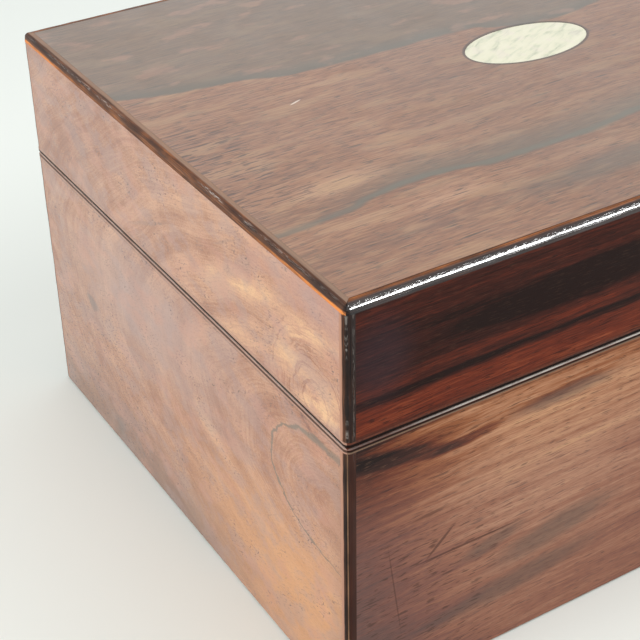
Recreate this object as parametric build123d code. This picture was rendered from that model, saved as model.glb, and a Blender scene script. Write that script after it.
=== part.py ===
from build123d import *
import math
import os

# A rosewood writing slope: a box with a deep lid hinged at the back, over a leather
# writing flap that slopes up to a gallery with a pen tray and two ink bottles.
# Millimetres. X runs along the front, Y from front to back, Z up from the table.

# ---- Box: outside sizes ----
box_length = 305.0
box_depth = 228.0
box_height = 161.0
lid_height = 50.25
seam_gap = 0.5
arris_radius = 2.0
arris_ease = 0.01

# ---- Box: timber ----
carcass_thickness = 8.0
lid_board_thickness = 7.0
bottom_board_thickness = 6.0
veneer_thickness = 1.2
edging_width = 3.4
rim_thickness = 1.8
rim_lip_radius = 0.5
baize_thickness = 0.8
baize_inset = 1.5
well_paper_thickness = 0.4
lining_thickness = 1.5

# ---- Lid inlay and keyhole plate ----
oval_length = 52.0
oval_width = 29.0
inlay_thickness = 0.8
inlay_clearance = 0.05
keyhole_plate_width = 11.0
keyhole_plate_height = 15.0
keyhole_depth_below_rim = 13.0
keyhole_radius = 1.6
keyhole_slot_width = 1.6
keyhole_slot_length = 5.0
keyway_clearance = 0.2

# ---- Lid hinges ----
hinge_length = 45.0
hinge_end_distance = 48.0
hinge_leaf_width = 8.0
hinge_leaf_thickness = 1.3
hinge_knuckle_radius = 2.4
hinge_axis_proud = 1.4
hinge_pin_radius = 1.2
hinge_screw_spacing = 15.0
hinge_knuckle_count = 5
pin_clearance = 0.05
knuckle_clearance = 0.3
knuckle_end_gap = 0.15

# ---- Screws ----
screw_length = 7.0
screw_radius = 0.9
screw_head_radius = 1.9
screw_slot_width = 0.4
screw_slot_depth = 0.4
small_screw_length = 3.6
small_screw_radius = 0.5
small_screw_head_radius = 1.0
screw_clearance = 0.05

# ---- Lock ----
lock_wall_front = 1.4
lock_case_half_length = 24.0
lock_case_depth = 22.0
lock_sheet = 1.0
lock_plate_half_length = 31.0
lock_plate_thickness = 1.5
lock_screw_distance = 27.5
loop_distance = 12.0
loop_thickness = 2.0
loop_width = 3.4
loop_drop = 8.0
loop_clearance = 0.4
finger_thickness = 1.3
finger_height = 2.2
finger_clearance = 0.3
finger_length = 5.0
finger_arm_width = 3.0
finger_rest_gap = 0.6
bolt_bar_height = 5.0
bolt_running_gap = 0.1
drill_pin_radius = 0.7

# ---- Writing bed ----
slope_angle = 9.0
flap_thickness = 6.0
flap_front_rise = 0.6
flap_edge_gap = 0.8
flap_seat_gap = 0.3
leather_thickness = 0.8
leather_border = 14.0
cheek_thickness = 6.0
bearer_thickness = 8.0
bearer_height = 14.0
lid_clearance = 0.8
knob_radius = 3.5
knob_height = 7.0
knob_stem_radius = 1.5
knob_stem_length = 4.5
knob_inset = 7.0

# ---- Flap hinges ----
flap_hinge_length = 24.0
flap_hinge_end_distance = 60.0
flap_leaf_width = 5.4
flap_leaf_thickness = 0.8
flap_knuckle_radius = 1.3
flap_pin_radius = 0.6
flap_hinge_gap = 0.5
flap_knuckle_count = 3
flap_screw_spacing = 12.0
flap_screw_setback = 3.24

# ---- Gallery ----
rail_thickness = 6.0
back_rail_thickness = 5.0
divider_thickness = 4.0
gallery_floor_thickness = 4.0
bottle_width = 31.0
bottle_height = 27.0
bottle_edge_radius = 2.0
bottle_shoulder_radius = 1.8
bottle_neck_radius = 9.0
bottle_neck_height = 5.0
bottle_bore_radius = 7.5
bottle_base_thickness = 5.0
bottle_side_gap = 1.0
cap_radius = 11.0
cap_height = 8.0
cap_top_thickness = 1.5
cap_fit_clearance = 0.1
cap_seat_gap = 0.3
ink_head_room = 5.0
tray_wall = 4.0
tray_depth = 11.0
tray_fit_clearance = 0.3
tray_top_drop = 1.0

# ---- Cutting: how far a cutter passes its work, and how near two levels count as one ----
cut_margin = 1.0
level_tolerance = 0.01

# ---- Levels and faces worked out from the sizes above ----
wall_thickness = veneer_thickness + carcass_thickness
knuckle_overhang = hinge_axis_proud + hinge_knuckle_radius
x_end = box_length / 2
y_back = (box_depth - knuckle_overhang) / 2
y_front = y_back - box_depth
y_middle = (y_front + y_back) / 2
x_inside = x_end - wall_thickness
y_inside_front = y_front + wall_thickness
y_inside_back = y_back - wall_thickness
z_base_top = box_height - lid_height - seam_gap
z_lid_bottom = box_height - lid_height
z_floor = baize_thickness + bottom_board_thickness
z_well = z_floor + well_paper_thickness
z_lid_board = box_height - veneer_thickness - lid_board_thickness
z_ceiling = z_lid_board - lining_thickness

gallery_depth = rail_thickness + bottle_width + 2 * bottle_side_gap + back_rail_thickness
y_rail_front = y_inside_back - gallery_depth
y_rail_back = y_rail_front + rail_thickness
y_back_rail = y_inside_back - back_rail_thickness
y_flap_front = y_inside_front + flap_edge_gap
y_flap_hinge = y_rail_front - flap_hinge_gap / 2
y_flap_back = y_rail_front - flap_hinge_gap
slope = math.radians(slope_angle)


def bed_level(y, depth=0.0):
    """Height of the writing bed at a distance back, or of a layer below its face."""
    rise = (y - y_flap_front) * math.tan(slope)
    return z_base_top + flap_front_rise + rise - depth / math.cos(slope)


z_gallery_top = bed_level(y_rail_front)
z_flap_hinge = bed_level(y_flap_hinge)
cap_total = cap_seat_gap + cap_height
z_gallery_floor = z_ceiling - ink_head_room - cap_total - bottle_height

x_cheek = x_inside - cheek_thickness
compartment_width = bottle_width + 2 * bottle_side_gap
x_ink = x_cheek - compartment_width / 2
x_divider_outer = x_cheek - compartment_width
x_divider_inner = x_divider_outer - divider_thickness

parts = {}


# ---- Helpers ----
def block(x0, x1, y0, y1, z0, z1):
    """A rectangular board between two corners."""
    centre = Pos((x0 + x1) / 2, (y0 + y1) / 2, (z0 + z1) / 2)
    return centre * Box(x1 - x0, y1 - y0, z1 - z0)


def rod(radius, x0, x1, y, z):
    """A round bar along X."""
    lying = Rot(0, 90, 0) * Cylinder(radius, x1 - x0)
    return Pos((x0 + x1) / 2, y, z) * lying


def end_board(outline, x0, x1):
    """A board whose outline is drawn on the box's end and whose thickness is along X."""
    face = make_face(Polyline(*outline, close=True))
    return Pos(x0, 0, 0) * extrude(Plane.YZ * face, amount=x1 - x0)


def edges_at(shape, level):
    """The edges of a shape that lie at a height."""
    return shape.edges().filter_by(lambda edge: abs(edge.center().Z - level) < level_tolerance)


def outer_block(z0, z1):
    """The box's outside between two heights, its four upright corners rounded."""
    outline = RectangleRounded(box_length, box_depth, arris_radius)
    return Pos(0, y_middle, z0) * extrude(outline, amount=z1 - z0)


def inner_block(inset, z0, z1):
    """What lies further than an inset from the box's four outside faces."""
    x = x_end - inset
    return block(-x, x, y_front + inset, y_back - inset, z0, z1)


def corner_posts(z0, z1):
    """The four upright edging strips, outer corners rounded."""
    outside = outer_block(z0, z1)
    y_span = (y_front, y_front + edging_width), (y_back - edging_width, y_back)
    x_span = (-x_end, -x_end + edging_width), (x_end - edging_width, x_end)
    posts = []
    for y0, y1 in y_span:
        for x0, x1 in x_span:
            posts.append(outside & block(x0, x1, y0, y1, z0, z1))
    return posts


def mitre_wedge(side, z0, z1):
    """A wedge that keeps one side of a frame and cuts its ends at 45 degrees."""
    reach = 2 * wall_thickness
    x_out, x_in = x_end + cut_margin, x_end - reach
    front_out, front_in = y_front - cut_margin, y_front + reach
    back_out, back_in = y_back + cut_margin, y_back - reach
    outlines = {
        "front": [(-x_out, front_out), (x_out, front_out), (x_in, front_in), (-x_in, front_in)],
        "back": [(-x_in, back_in), (x_in, back_in), (x_out, back_out), (-x_out, back_out)],
        "left": [(-x_out, front_out), (-x_in, front_in), (-x_in, back_in), (-x_out, back_out)],
        "right": [(x_out, front_out), (x_out, back_out), (x_in, back_in), (x_in, front_in)],
    }
    outline = make_face(Polyline(*outlines[side], close=True))
    return Pos(0, 0, z0) * extrude(outline, amount=z1 - z0)


def rim_frame(z0, z1, lip_level):
    """A flat frame over the walls' edges, its outer edge at the seam eased."""
    frame = outer_block(z0, z1)
    lips = edges_at(frame, lip_level)
    return fillet(lips, rim_lip_radius) - inner_block(wall_thickness, z0, z1)


def screw_shape(length, radius, head_radius):
    """A countersunk screw's outside, head up at the origin."""
    head_depth = head_radius - radius
    head = Cone(radius, head_radius, head_depth, align=(Align.CENTER, Align.CENTER, Align.MAX))
    shank = Cylinder(radius, length, align=(Align.CENTER, Align.CENTER, Align.MAX))
    return head + shank


def screw(length, radius, head_radius):
    """A countersunk screw with its slot."""
    across = 2 * head_radius
    slot = Pos(0, 0, -screw_slot_depth / 2) * Box(across, screw_slot_width, screw_slot_depth)
    return screw_shape(length, radius, head_radius) - slot


def screw_hole(length, radius, head_radius):
    """The countersunk hole that a screw sits in."""
    return screw_shape(length + screw_clearance, radius + screw_clearance,
                       head_radius + screw_clearance)


def group(solids):
    """Several like pieces kept as separate solids in one sub-part."""
    return Compound(children=list(solids))


# ---- Carcass, veneers, edgings and rims ----
def box_walls(z0, z1, posts):
    """Four wall boards, the ends butted between the front and back."""
    x = x_end - veneer_thickness
    y0, y1 = y_front + veneer_thickness, y_back - veneer_thickness
    walls = {
        "front_wall": block(-x, x, y0, y_inside_front, z0, z1),
        "back_wall": block(-x, x, y_inside_back, y1, z0, z1),
        "left_wall": block(-x, -x_inside, y_inside_front, y_inside_back, z0, z1),
        "right_wall": block(x_inside, x, y_inside_front, y_inside_back, z0, z1),
    }
    for name in ("front_wall", "back_wall"):
        walls[name] = walls[name] - posts
    return walls


def box_veneers(z0, z1):
    """Four veneers between the corner edgings."""
    x, y0, y1 = x_end - edging_width, y_front + edging_width, y_back - edging_width
    return {
        "front_veneer": block(-x, x, y_front, y_front + veneer_thickness, z0, z1),
        "back_veneer": block(-x, x, y_back - veneer_thickness, y_back, z0, z1),
        "left_veneer": block(-x_end, -x_end + veneer_thickness, y0, y1, z0, z1),
        "right_veneer": block(x_end - veneer_thickness, x_end, y0, y1, z0, z1),
    }


def rim_pieces(frame, z0, z1):
    """A frame sawn into its four mitred sides."""
    return {f"{side}_rim": frame & mitre_wedge(side, z0, z1)
            for side in ("front", "back", "left", "right")}


def make_base():
    """The lower box: walls, bottom, skins and rims."""
    z_rim = z_base_top - rim_thickness
    posts = corner_posts(baize_thickness, z_rim)
    made = box_walls(baize_thickness, z_rim, posts)
    made.update(box_veneers(baize_thickness, z_rim))
    frame = rim_frame(z_rim, z_base_top, z_base_top)
    made.update(rim_pieces(frame, z_rim, z_base_top))
    for name, shape in made.items():
        parts["base_" + name] = shape
    parts["base_corner_edgings"] = group(posts)
    parts["base_bottom_board"] = inner_block(wall_thickness, baize_thickness, z_floor)
    parts["underside_baize"] = inner_block(baize_inset, 0, baize_thickness)
    parts["well_paper"] = inner_block(wall_thickness, z_floor, z_well)


def make_lid():
    """The lid: walls, top board, skins, rims, edgings, lining and oval."""
    z_rim = z_lid_bottom + rim_thickness
    z_edging = box_height - edging_width
    posts = corner_posts(z_rim, z_edging)
    made = box_walls(z_rim, z_lid_board, posts)
    made.update(box_veneers(z_rim, z_edging))
    frame = rim_frame(z_lid_bottom, z_rim, z_lid_bottom)
    made.update(rim_pieces(frame, z_lid_bottom, z_rim))
    for name, shape in made.items():
        parts["lid_" + name] = shape
    parts["lid_corner_edgings"] = group(posts)

    board = inner_block(veneer_thickness, z_lid_board, box_height - veneer_thickness)
    top_ring = outer_block(z_edging, box_height)
    inside = inner_block(edging_width, z_edging, box_height)
    edging_room = top_ring - inside
    top_ring = fillet(edges_at(top_ring, box_height), arris_radius - arris_ease) - inside
    parts["lid_top_board"] = board - posts - edging_room
    sides = [top_ring & mitre_wedge(side, z_edging, box_height)
             for side in ("front", "back", "left", "right")]
    parts["lid_top_edgings"] = group(sides)
    parts["lid_lining"] = inner_block(wall_thickness, z_ceiling, z_lid_board)

    z_veneer = box_height - veneer_thickness
    z_pocket = box_height - inlay_thickness
    pocket = Ellipse(oval_length / 2 + inlay_clearance, oval_width / 2 + inlay_clearance)
    oval = Ellipse(oval_length / 2, oval_width / 2)
    top_veneer = inner_block(edging_width, z_veneer, box_height)
    recess = Pos(0, y_middle, z_pocket) * extrude(pocket, amount=inlay_thickness + cut_margin)
    parts["lid_top_veneer"] = top_veneer - recess
    parts["oval_inlay"] = Pos(0, y_middle, z_pocket) * extrude(oval, amount=inlay_thickness)


# ---- Hinges ----
def knuckles(x_centre, length, count, mine, radius, y, z):
    """The knuckles of one leaf, and the room that the other leaf's knuckles need."""
    pitch = length / count
    own, room = [], []
    for index in range(count):
        x0 = x_centre - length / 2 + index * pitch
        if index % 2 == mine:
            own.append(rod(radius, x0 + knuckle_end_gap, x0 + pitch - knuckle_end_gap, y, z))
        else:
            room.append(rod(radius + knuckle_clearance, x0, x0 + pitch, y, z))
    return own, room


def lid_hinge(x_centre, level, upward, mine):
    """One leaf of a lid hinge: base_top side or lid side of the seam."""
    y = y_back + hinge_axis_proud
    z = z_base_top + seam_gap / 2
    x0, x1 = x_centre - hinge_length / 2, x_centre + hinge_length / 2
    z0, z1 = sorted((level, level + upward * hinge_leaf_thickness))
    plate = block(x0, x1, y_back - hinge_leaf_width, y, z0, z1)
    own, room = knuckles(x_centre, hinge_length, hinge_knuckle_count, mine,
                         hinge_knuckle_radius, y, z)
    bore = rod(hinge_pin_radius + pin_clearance, x0 - cut_margin, x1 + cut_margin, y, z)
    return (plate - room + own) - bore


def hinge_recess(x_centre, level, upward):
    """What a lid hinge needs cut from the rim, wall and veneer behind it."""
    y = y_back + hinge_axis_proud
    x0, x1 = x_centre - hinge_length / 2, x_centre + hinge_length / 2
    z0, z1 = sorted((level, level + upward * hinge_leaf_thickness))
    seat = block(x0, x1, y_back - hinge_leaf_width, y, z0, z1)
    clearance = knuckle_clearance
    barrel = rod(hinge_knuckle_radius + clearance, x0 - clearance, x1 + clearance,
                 y, z_base_top + seam_gap / 2)
    return seat + barrel


def facing(upward):
    """Turns a screw that points down into one that points up where needed."""
    return Rot(0, 0, 0) if upward < 0 else Rot(180, 0, 0)


def make_lid_hinges():
    """Two brass butt hinges let into the back rims, with pins and screws."""
    x_hinges = [side * (x_end - hinge_end_distance) for side in (-1, 1)]
    y_screw = y_back - veneer_thickness - carcass_thickness / 2
    y_axis = y_back + hinge_axis_proud
    z_axis = z_base_top + seam_gap / 2
    halves = (("base", z_base_top, -1, 0), ("lid", z_lid_bottom, 1, 1))
    for half, level, upward, mine in halves:
        leaves = [lid_hinge(x, level, upward, mine) for x in x_hinges]
        seats = [hinge_recess(x, level, upward) for x in x_hinges]
        places = [Pos(x + step * hinge_screw_spacing, y_screw, level) * facing(upward)
                  for x in x_hinges for step in (-1, 0, 1)]
        screws = [place * screw(screw_length, screw_radius, screw_head_radius)
                  for place in places]
        holes = [place * screw_hole(screw_length, screw_radius, screw_head_radius)
                 for place in places]
        parts[half + "_hinge_leaves"] = group([leaves[0] - holes[:3], leaves[1] - holes[3:]])
        parts[half + "_hinge_screws"] = group(screws)
        for board in ("back_wall", "back_rim", "back_veneer"):
            parts[f"{half}_{board}"] = parts[f"{half}_{board}"] - seats - holes
    pins = [rod(hinge_pin_radius, x - hinge_length / 2, x + hinge_length / 2, y_axis, z_axis)
            for x in x_hinges]
    parts["lid_hinge_pins"] = group(pins)


# ---- Lock ----
def keyhole(y0, y1, clearance=0.0):
    """The keyhole's round and slot, cut from front to back."""
    z = z_base_top - keyhole_depth_below_rim
    radius = keyhole_radius + clearance
    half = keyhole_slot_width / 2 + clearance
    hole = Pos(0, (y0 + y1) / 2, z) * (Rot(90, 0, 0) * Cylinder(radius, y1 - y0))
    return hole + block(-half, half, y0, y1, z - keyhole_slot_length - clearance, z)


def make_lock():
    """A box lock in the front wall, whose bolt slides through two loops on the lid."""
    y0 = y_front + veneer_thickness + lock_wall_front
    y1 = y_inside_front
    y_mid = (y0 + y1) / 2
    z_plate = z_base_top - lock_plate_thickness
    z_case = z_base_top - lock_case_depth
    case_x, plate_x = lock_case_half_length, lock_plate_half_length
    room_x = case_x - lock_sheet
    z_room = z_case + lock_sheet

    envelope = block(-case_x, case_x, y0, y1, z_case, z_base_top)
    plate = block(-plate_x, plate_x, y0, y1, z_plate, z_base_top)
    hollow = block(-room_x, room_x, y0 + lock_sheet, y1 - lock_sheet, z_room, z_plate)
    cover = block(-room_x, room_x, y1 - lock_sheet, y1, z_room, z_plate)
    places = [Pos(side * lock_screw_distance, y_mid, z_base_top) for side in (-1, 1)]
    holes = [place * screw_hole(screw_length, screw_radius, screw_head_radius)
             for place in places]
    slots, loops = [], []
    z_eye = z_lid_bottom - loop_drop + loop_thickness
    eye_height = finger_height + 2 * finger_clearance
    eye_half = finger_thickness / 2 + finger_clearance
    for side in (-1, 1):
        x = side * loop_distance
        half_x, half_y = loop_thickness / 2, loop_width / 2
        slots.append(block(x - half_x - loop_clearance, x + half_x + loop_clearance,
                           y_mid - half_y - loop_clearance, y_mid + half_y + loop_clearance,
                           z_plate, z_base_top))
        loop = block(x - half_x, x + half_x, y_mid - half_y, y_mid + half_y,
                     z_lid_bottom - loop_drop, z_lid_bottom)
        eye = block(x - half_x, x + half_x, y_mid - eye_half, y_mid + eye_half,
                    z_eye, z_eye + eye_height)
        loops.append(loop - eye)

    parts["lock_case"] = (envelope + plate) - hollow - cover - slots - holes - keyhole(y0, y1)
    drill_pin = Rot(90, 0, 0) * Cylinder(drill_pin_radius, y1 - y0 - 2 * lock_sheet)
    z_key = z_base_top - keyhole_depth_below_rim
    parts["lock_cover"] = cover + Pos(0, y_mid, z_key) * drill_pin
    parts["lock_screws"] = group([place * screw(screw_length, screw_radius, screw_head_radius)
                                  for place in places])

    finger_z0 = z_eye + finger_clearance
    finger_z1 = finger_z0 + finger_height
    bar_z0 = z_room + bolt_running_gap
    bar_z1 = bar_z0 + bolt_bar_height
    bar_y0 = y0 + lock_sheet + bolt_running_gap
    bar_y1 = y1 - lock_sheet - bolt_running_gap
    tips = [side * loop_distance - loop_thickness / 2 - finger_rest_gap for side in (-1, 1)]
    roots = [tip - finger_length for tip in tips]
    bolt = block(roots[0] - finger_arm_width, roots[1], bar_y0, bar_y1, bar_z0, bar_z1)
    bolt_half = finger_thickness / 2
    for tip, root in zip(tips, roots):
        bolt += block(root - finger_arm_width, root, y_mid - bolt_half, y_mid + bolt_half,
                      bar_z0, finger_z1)
        bolt += block(root - finger_arm_width, tip, y_mid - bolt_half, y_mid + bolt_half,
                      finger_z0, finger_z1)
    parts["lock_bolt"] = bolt

    link = block(-plate_x, plate_x, y0, y1, z_lid_bottom, z_lid_bottom + lock_plate_thickness)
    lid_places = [Pos(side * lock_screw_distance, y_mid, z_lid_bottom) * Rot(180, 0, 0)
                  for side in (-1, 1)]
    lid_holes = [place * screw_hole(screw_length, screw_radius, screw_head_radius)
                 for place in lid_places]
    parts["link_plate"] = link - lid_holes + loops
    parts["link_plate_screws"] = group(
        [place * screw(screw_length, screw_radius, screw_head_radius) for place in lid_places])

    keyway = keyhole(y_front, y0, keyway_clearance)
    for board in ("base_front_wall", "base_front_rim"):
        parts[board] = parts[board] - [envelope, plate, *holes, keyway]
    for board in ("lid_front_wall", "lid_front_rim"):
        parts[board] = parts[board] - [link, *lid_holes]

    plate_depth = inlay_thickness
    face = Plane(origin=(0, y_front + plate_depth, z_key - keyhole_slot_length / 2),
                 x_dir=(1, 0, 0), z_dir=(0, -1, 0))
    half_width, half_height = keyhole_plate_width / 2, keyhole_plate_height / 2
    oval = extrude(face * Ellipse(half_width, half_height), amount=plate_depth)
    pocket = extrude(face * Ellipse(half_width + inlay_clearance, half_height + inlay_clearance),
                     amount=plate_depth + cut_margin)
    parts["keyhole_plate"] = oval - keyhole(y_front, y0)
    parts["base_front_veneer"] = parts["base_front_veneer"] - [pocket, keyway]


# ---- Writing bed ----
def clear_of_lid(shape):
    """Relieves a board where it stands up into the lid."""
    sleeve = inner_block(wall_thickness - cut_margin, z_base_top, box_height)
    sleeve = sleeve - inner_block(wall_thickness + lid_clearance, z_base_top, box_height)
    return shape - sleeve


def make_cheeks():
    """Sloping side boards, with the bearer that carries the flap's front edge."""
    under = flap_thickness + flap_seat_gap / math.cos(slope)
    outline = [
        (y_inside_front, z_well),
        (y_inside_back, z_well),
        (y_inside_back, z_gallery_top),
        (y_rail_front, z_gallery_top),
        (y_rail_front, bed_level(y_rail_front, under)),
        (y_inside_front, bed_level(y_inside_front, under)),
    ]
    parts["left_cheek"] = clear_of_lid(end_board(outline, -x_inside, -x_cheek))
    parts["right_cheek"] = clear_of_lid(end_board(outline, x_cheek, x_inside))
    y0, y1 = y_inside_front, y_inside_front + bearer_thickness
    bearer = [
        (y0, bed_level(y0, under) - bearer_height),
        (y1, bed_level(y0, under) - bearer_height),
        (y1, bed_level(y1, under)),
        (y0, bed_level(y0, under)),
    ]
    parts["front_bearer"] = end_board(bearer, -x_cheek, x_cheek)


def tilted(shape):
    """A piece made level at the flap hinge's axis, turned down to the slope."""
    return Pos(0, y_flap_hinge, z_flap_hinge) * (Rot(slope_angle, 0, 0) * shape)


def make_flap():
    """The writing flap, its leather, knob and hinges."""
    x = x_inside - flap_edge_gap
    outline = [
        (y_flap_front, bed_level(y_flap_front, flap_thickness)),
        (y_flap_back, bed_level(y_flap_back, flap_thickness)),
        (y_flap_back, bed_level(y_flap_back)),
        (y_flap_front, bed_level(y_flap_front)),
    ]
    board = end_board(outline, -x, x)
    y0, y1 = y_flap_front + leather_border, y_flap_back - leather_border
    panel = [
        (y0, bed_level(y0, leather_thickness)),
        (y1, bed_level(y1, leather_thickness)),
        (y1, bed_level(y1)),
        (y0, bed_level(y0)),
    ]
    leather = end_board(panel, -x + leather_border, x - leather_border)
    parts["leather_panel"] = leather

    y_knob = y_flap_front + knob_inset
    seat = Pos(0, y_knob, bed_level(y_knob)) * Rot(slope_angle, 0, 0)
    stem = Cylinder(knob_stem_radius, knob_stem_length,
                    align=(Align.CENTER, Align.CENTER, Align.MAX))
    neck_height = knob_height - knob_radius
    neck = Cylinder(knob_stem_radius, neck_height,
                    align=(Align.CENTER, Align.CENTER, Align.MIN))
    head = Pos(0, 0, neck_height) * Sphere(knob_radius, arc_size1=0)
    hole = Cylinder(knob_stem_radius + screw_clearance, knob_stem_length + screw_clearance,
                    align=(Align.CENTER, Align.CENTER, Align.MAX))
    parts["flap_knob"] = seat * (stem + neck + head)
    board = board - leather - seat * hole

    rail = parts["gallery_front_rail"]
    half = flap_hinge_length / 2
    flap_leaves, rail_leaves, pins, flap_screws, rail_screws = [], [], [], [], []
    for side in (-1, 1):
        xc = side * (x_inside - flap_hinge_end_distance)
        own, room = knuckles(xc, flap_hinge_length, flap_knuckle_count, 1,
                             flap_knuckle_radius, y_flap_hinge, z_flap_hinge)
        other, other_room = knuckles(xc, flap_hinge_length, flap_knuckle_count, 0,
                                     flap_knuckle_radius, y_flap_hinge, z_flap_hinge)
        bore = rod(flap_pin_radius + pin_clearance, xc - half - cut_margin,
                   xc + half + cut_margin, y_flap_hinge, z_flap_hinge)
        flap_plate = tilted(block(xc - half, xc + half, -flap_leaf_width, 0,
                                  -flap_leaf_thickness, 0))
        rail_plate = block(xc - half, xc + half, y_flap_hinge, y_rail_front + flap_leaf_width,
                           z_gallery_top - flap_leaf_thickness, z_gallery_top)
        barrel = rod(flap_knuckle_radius + knuckle_clearance,
                     xc - half - knuckle_clearance, xc + half + knuckle_clearance,
                     y_flap_hinge, z_flap_hinge)
        screw_size = (small_screw_length, small_screw_radius, small_screw_head_radius)
        x_screws = [xc + step * flap_screw_spacing / 2 for step in (-1, 1)]
        on_flap = [tilted(Pos(x_screw, -flap_screw_setback, 0)) for x_screw in x_screws]
        on_rail = [Pos(x_screw, y_rail_front + rail_thickness / 2, z_gallery_top)
                   for x_screw in x_screws]
        flap_holes = [place * screw_hole(*screw_size) for place in on_flap]
        rail_holes = [place * screw_hole(*screw_size) for place in on_rail]
        flap_screws += [place * screw(*screw_size) for place in on_flap]
        rail_screws += [place * screw(*screw_size) for place in on_rail]
        flap_leaves.append((flap_plate - room + own) - bore - flap_holes)
        rail_leaves.append((rail_plate - other_room + other) - bore - rail_holes)
        pins.append(rod(flap_pin_radius, xc - half, xc + half, y_flap_hinge, z_flap_hinge))
        board = board - [flap_plate, barrel, *flap_holes]
        rail = rail - [rail_plate, barrel, *rail_holes]
    parts["flap_board"] = board
    parts["gallery_front_rail"] = rail
    parts["flap_hinge_leaves"] = group(flap_leaves)
    parts["rail_hinge_leaves"] = group(rail_leaves)
    parts["flap_hinge_pins"] = group(pins)
    parts["flap_hinge_screws"] = group(flap_screws)
    parts["rail_hinge_screws"] = group(rail_screws)


# ---- Gallery ----
def make_gallery():
    """Floor, rails, dividers, pen tray, ink bottles and caps behind the bed."""
    z0, z1 = z_gallery_floor, z_gallery_top
    y1 = y_inside_back
    floor = block(-x_cheek, x_cheek, y_rail_front, y1, z0 - gallery_floor_thickness, z0)
    parts["gallery_floor"] = clear_of_lid(floor)
    parts["gallery_front_rail"] = block(-x_cheek, x_cheek, y_rail_front, y_rail_back, z0, z1)
    back_rail = block(-x_cheek, x_cheek, y_back_rail, y1, z0, z1)
    parts["gallery_back_rail"] = clear_of_lid(back_rail)
    dividers = []
    for side in (-1, 1):
        xs = sorted((side * x_divider_outer, side * x_divider_inner))
        dividers.append(block(*xs, y_rail_back, y_back_rail, z0, z1))
    parts["gallery_dividers"] = group(dividers)

    gap = tray_fit_clearance
    tray_x = x_divider_inner - gap
    tray_y0, tray_y1 = y_rail_back + gap, y_back_rail - gap
    z_tray = z1 - tray_top_drop
    tray = block(-tray_x, tray_x, tray_y0, tray_y1, z0, z_tray)
    trough_half = (tray_y1 - tray_y0) / 2 - tray_wall
    radius = (trough_half ** 2 + tray_depth ** 2) / (2 * tray_depth)
    y_tray = (tray_y0 + tray_y1) / 2
    z_axis = z_tray - tray_depth + radius
    trough = rod(radius, -tray_x + tray_wall, tray_x - tray_wall, y_tray, z_axis)
    parts["pen_tray"] = tray - trough

    z_shoulder = z0 + bottle_height
    y_ink = (y_rail_back + y_back_rail) / 2
    bore_depth = bottle_height - bottle_base_thickness + bottle_neck_height
    for name, side in (("left", -1), ("right", 1)):
        place = Pos(side * x_ink, y_ink, 0)
        body = RectangleRounded(bottle_width, bottle_width, bottle_edge_radius)
        bottle = Pos(0, 0, z0) * extrude(body, amount=bottle_height)
        bottle = fillet(edges_at(bottle, z_shoulder), bottle_shoulder_radius)
        up = (Align.CENTER, Align.CENTER, Align.MIN)
        down = (Align.CENTER, Align.CENTER, Align.MAX)
        bottle += Pos(0, 0, z_shoulder) * Cylinder(bottle_neck_radius, bottle_neck_height, align=up)
        z_mouth = z_shoulder + bottle_neck_height
        bottle -= Pos(0, 0, z_mouth) * Cylinder(bottle_bore_radius, bore_depth, align=down)
        z_cap = z_shoulder + cap_seat_gap
        cap = Pos(0, 0, z_cap) * Cylinder(cap_radius, cap_height, align=up)
        inside_radius = bottle_neck_radius + cap_fit_clearance
        cap -= Pos(0, 0, z_cap) * Cylinder(inside_radius, cap_height - cap_top_thickness, align=up)
        parts[name + "_ink_bottle"] = place * bottle
        parts[name + "_ink_cap"] = place * cap


def gather_rims(half):
    """Keeps the four mitred rims of one half as one sub-part of four solids."""
    names = [f"{half}_{side}_rim" for side in ("front", "back", "left", "right")]
    parts[half + "_rims"] = group([parts.pop(name) for name in names])


make_base()
make_lid()
make_lid_hinges()
make_lock()
make_cheeks()
make_gallery()
make_flap()
gather_rims("base")
gather_rims("lid")

os.makedirs("parts", exist_ok=True)
for name, shape in parts.items():
    export_step(shape, f"parts/{name}.step")
print(len(parts), "sub-parts written")
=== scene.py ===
# %% [markdown]
# # A rosewood writing slope
# This lesson dresses one object: a gentleman's travelling desk of about 1840, a rosewood box
# whose deep lid lifts off a sloping leather writing bed. The boards, hinges and lock come from
# the construction model, and this file gives every surface its finish and models what wear,
# tooling and turning have shaped.

# %% Load the construction
import math

import bmesh
import bpy
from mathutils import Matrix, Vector


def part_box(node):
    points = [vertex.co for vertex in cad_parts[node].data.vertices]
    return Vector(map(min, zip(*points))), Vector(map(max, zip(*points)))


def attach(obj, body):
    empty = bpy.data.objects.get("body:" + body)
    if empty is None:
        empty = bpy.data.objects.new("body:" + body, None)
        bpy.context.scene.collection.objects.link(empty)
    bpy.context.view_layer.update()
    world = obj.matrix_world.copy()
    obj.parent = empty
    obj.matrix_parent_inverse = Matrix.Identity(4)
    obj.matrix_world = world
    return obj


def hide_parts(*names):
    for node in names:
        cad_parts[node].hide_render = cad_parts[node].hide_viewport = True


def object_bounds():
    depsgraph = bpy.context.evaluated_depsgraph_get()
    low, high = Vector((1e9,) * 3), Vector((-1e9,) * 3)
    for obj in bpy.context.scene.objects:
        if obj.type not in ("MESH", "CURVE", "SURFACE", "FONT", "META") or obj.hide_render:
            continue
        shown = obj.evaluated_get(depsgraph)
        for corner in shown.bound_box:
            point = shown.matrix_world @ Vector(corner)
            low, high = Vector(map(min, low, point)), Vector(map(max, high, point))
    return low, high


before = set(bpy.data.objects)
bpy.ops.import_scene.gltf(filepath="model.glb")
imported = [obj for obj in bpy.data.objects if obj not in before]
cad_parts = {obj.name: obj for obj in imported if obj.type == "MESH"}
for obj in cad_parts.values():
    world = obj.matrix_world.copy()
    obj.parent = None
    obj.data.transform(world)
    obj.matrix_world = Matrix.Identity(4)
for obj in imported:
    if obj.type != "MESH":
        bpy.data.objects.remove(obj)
construction_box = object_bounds()
print(len(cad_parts), "construction pieces loaded")

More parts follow.
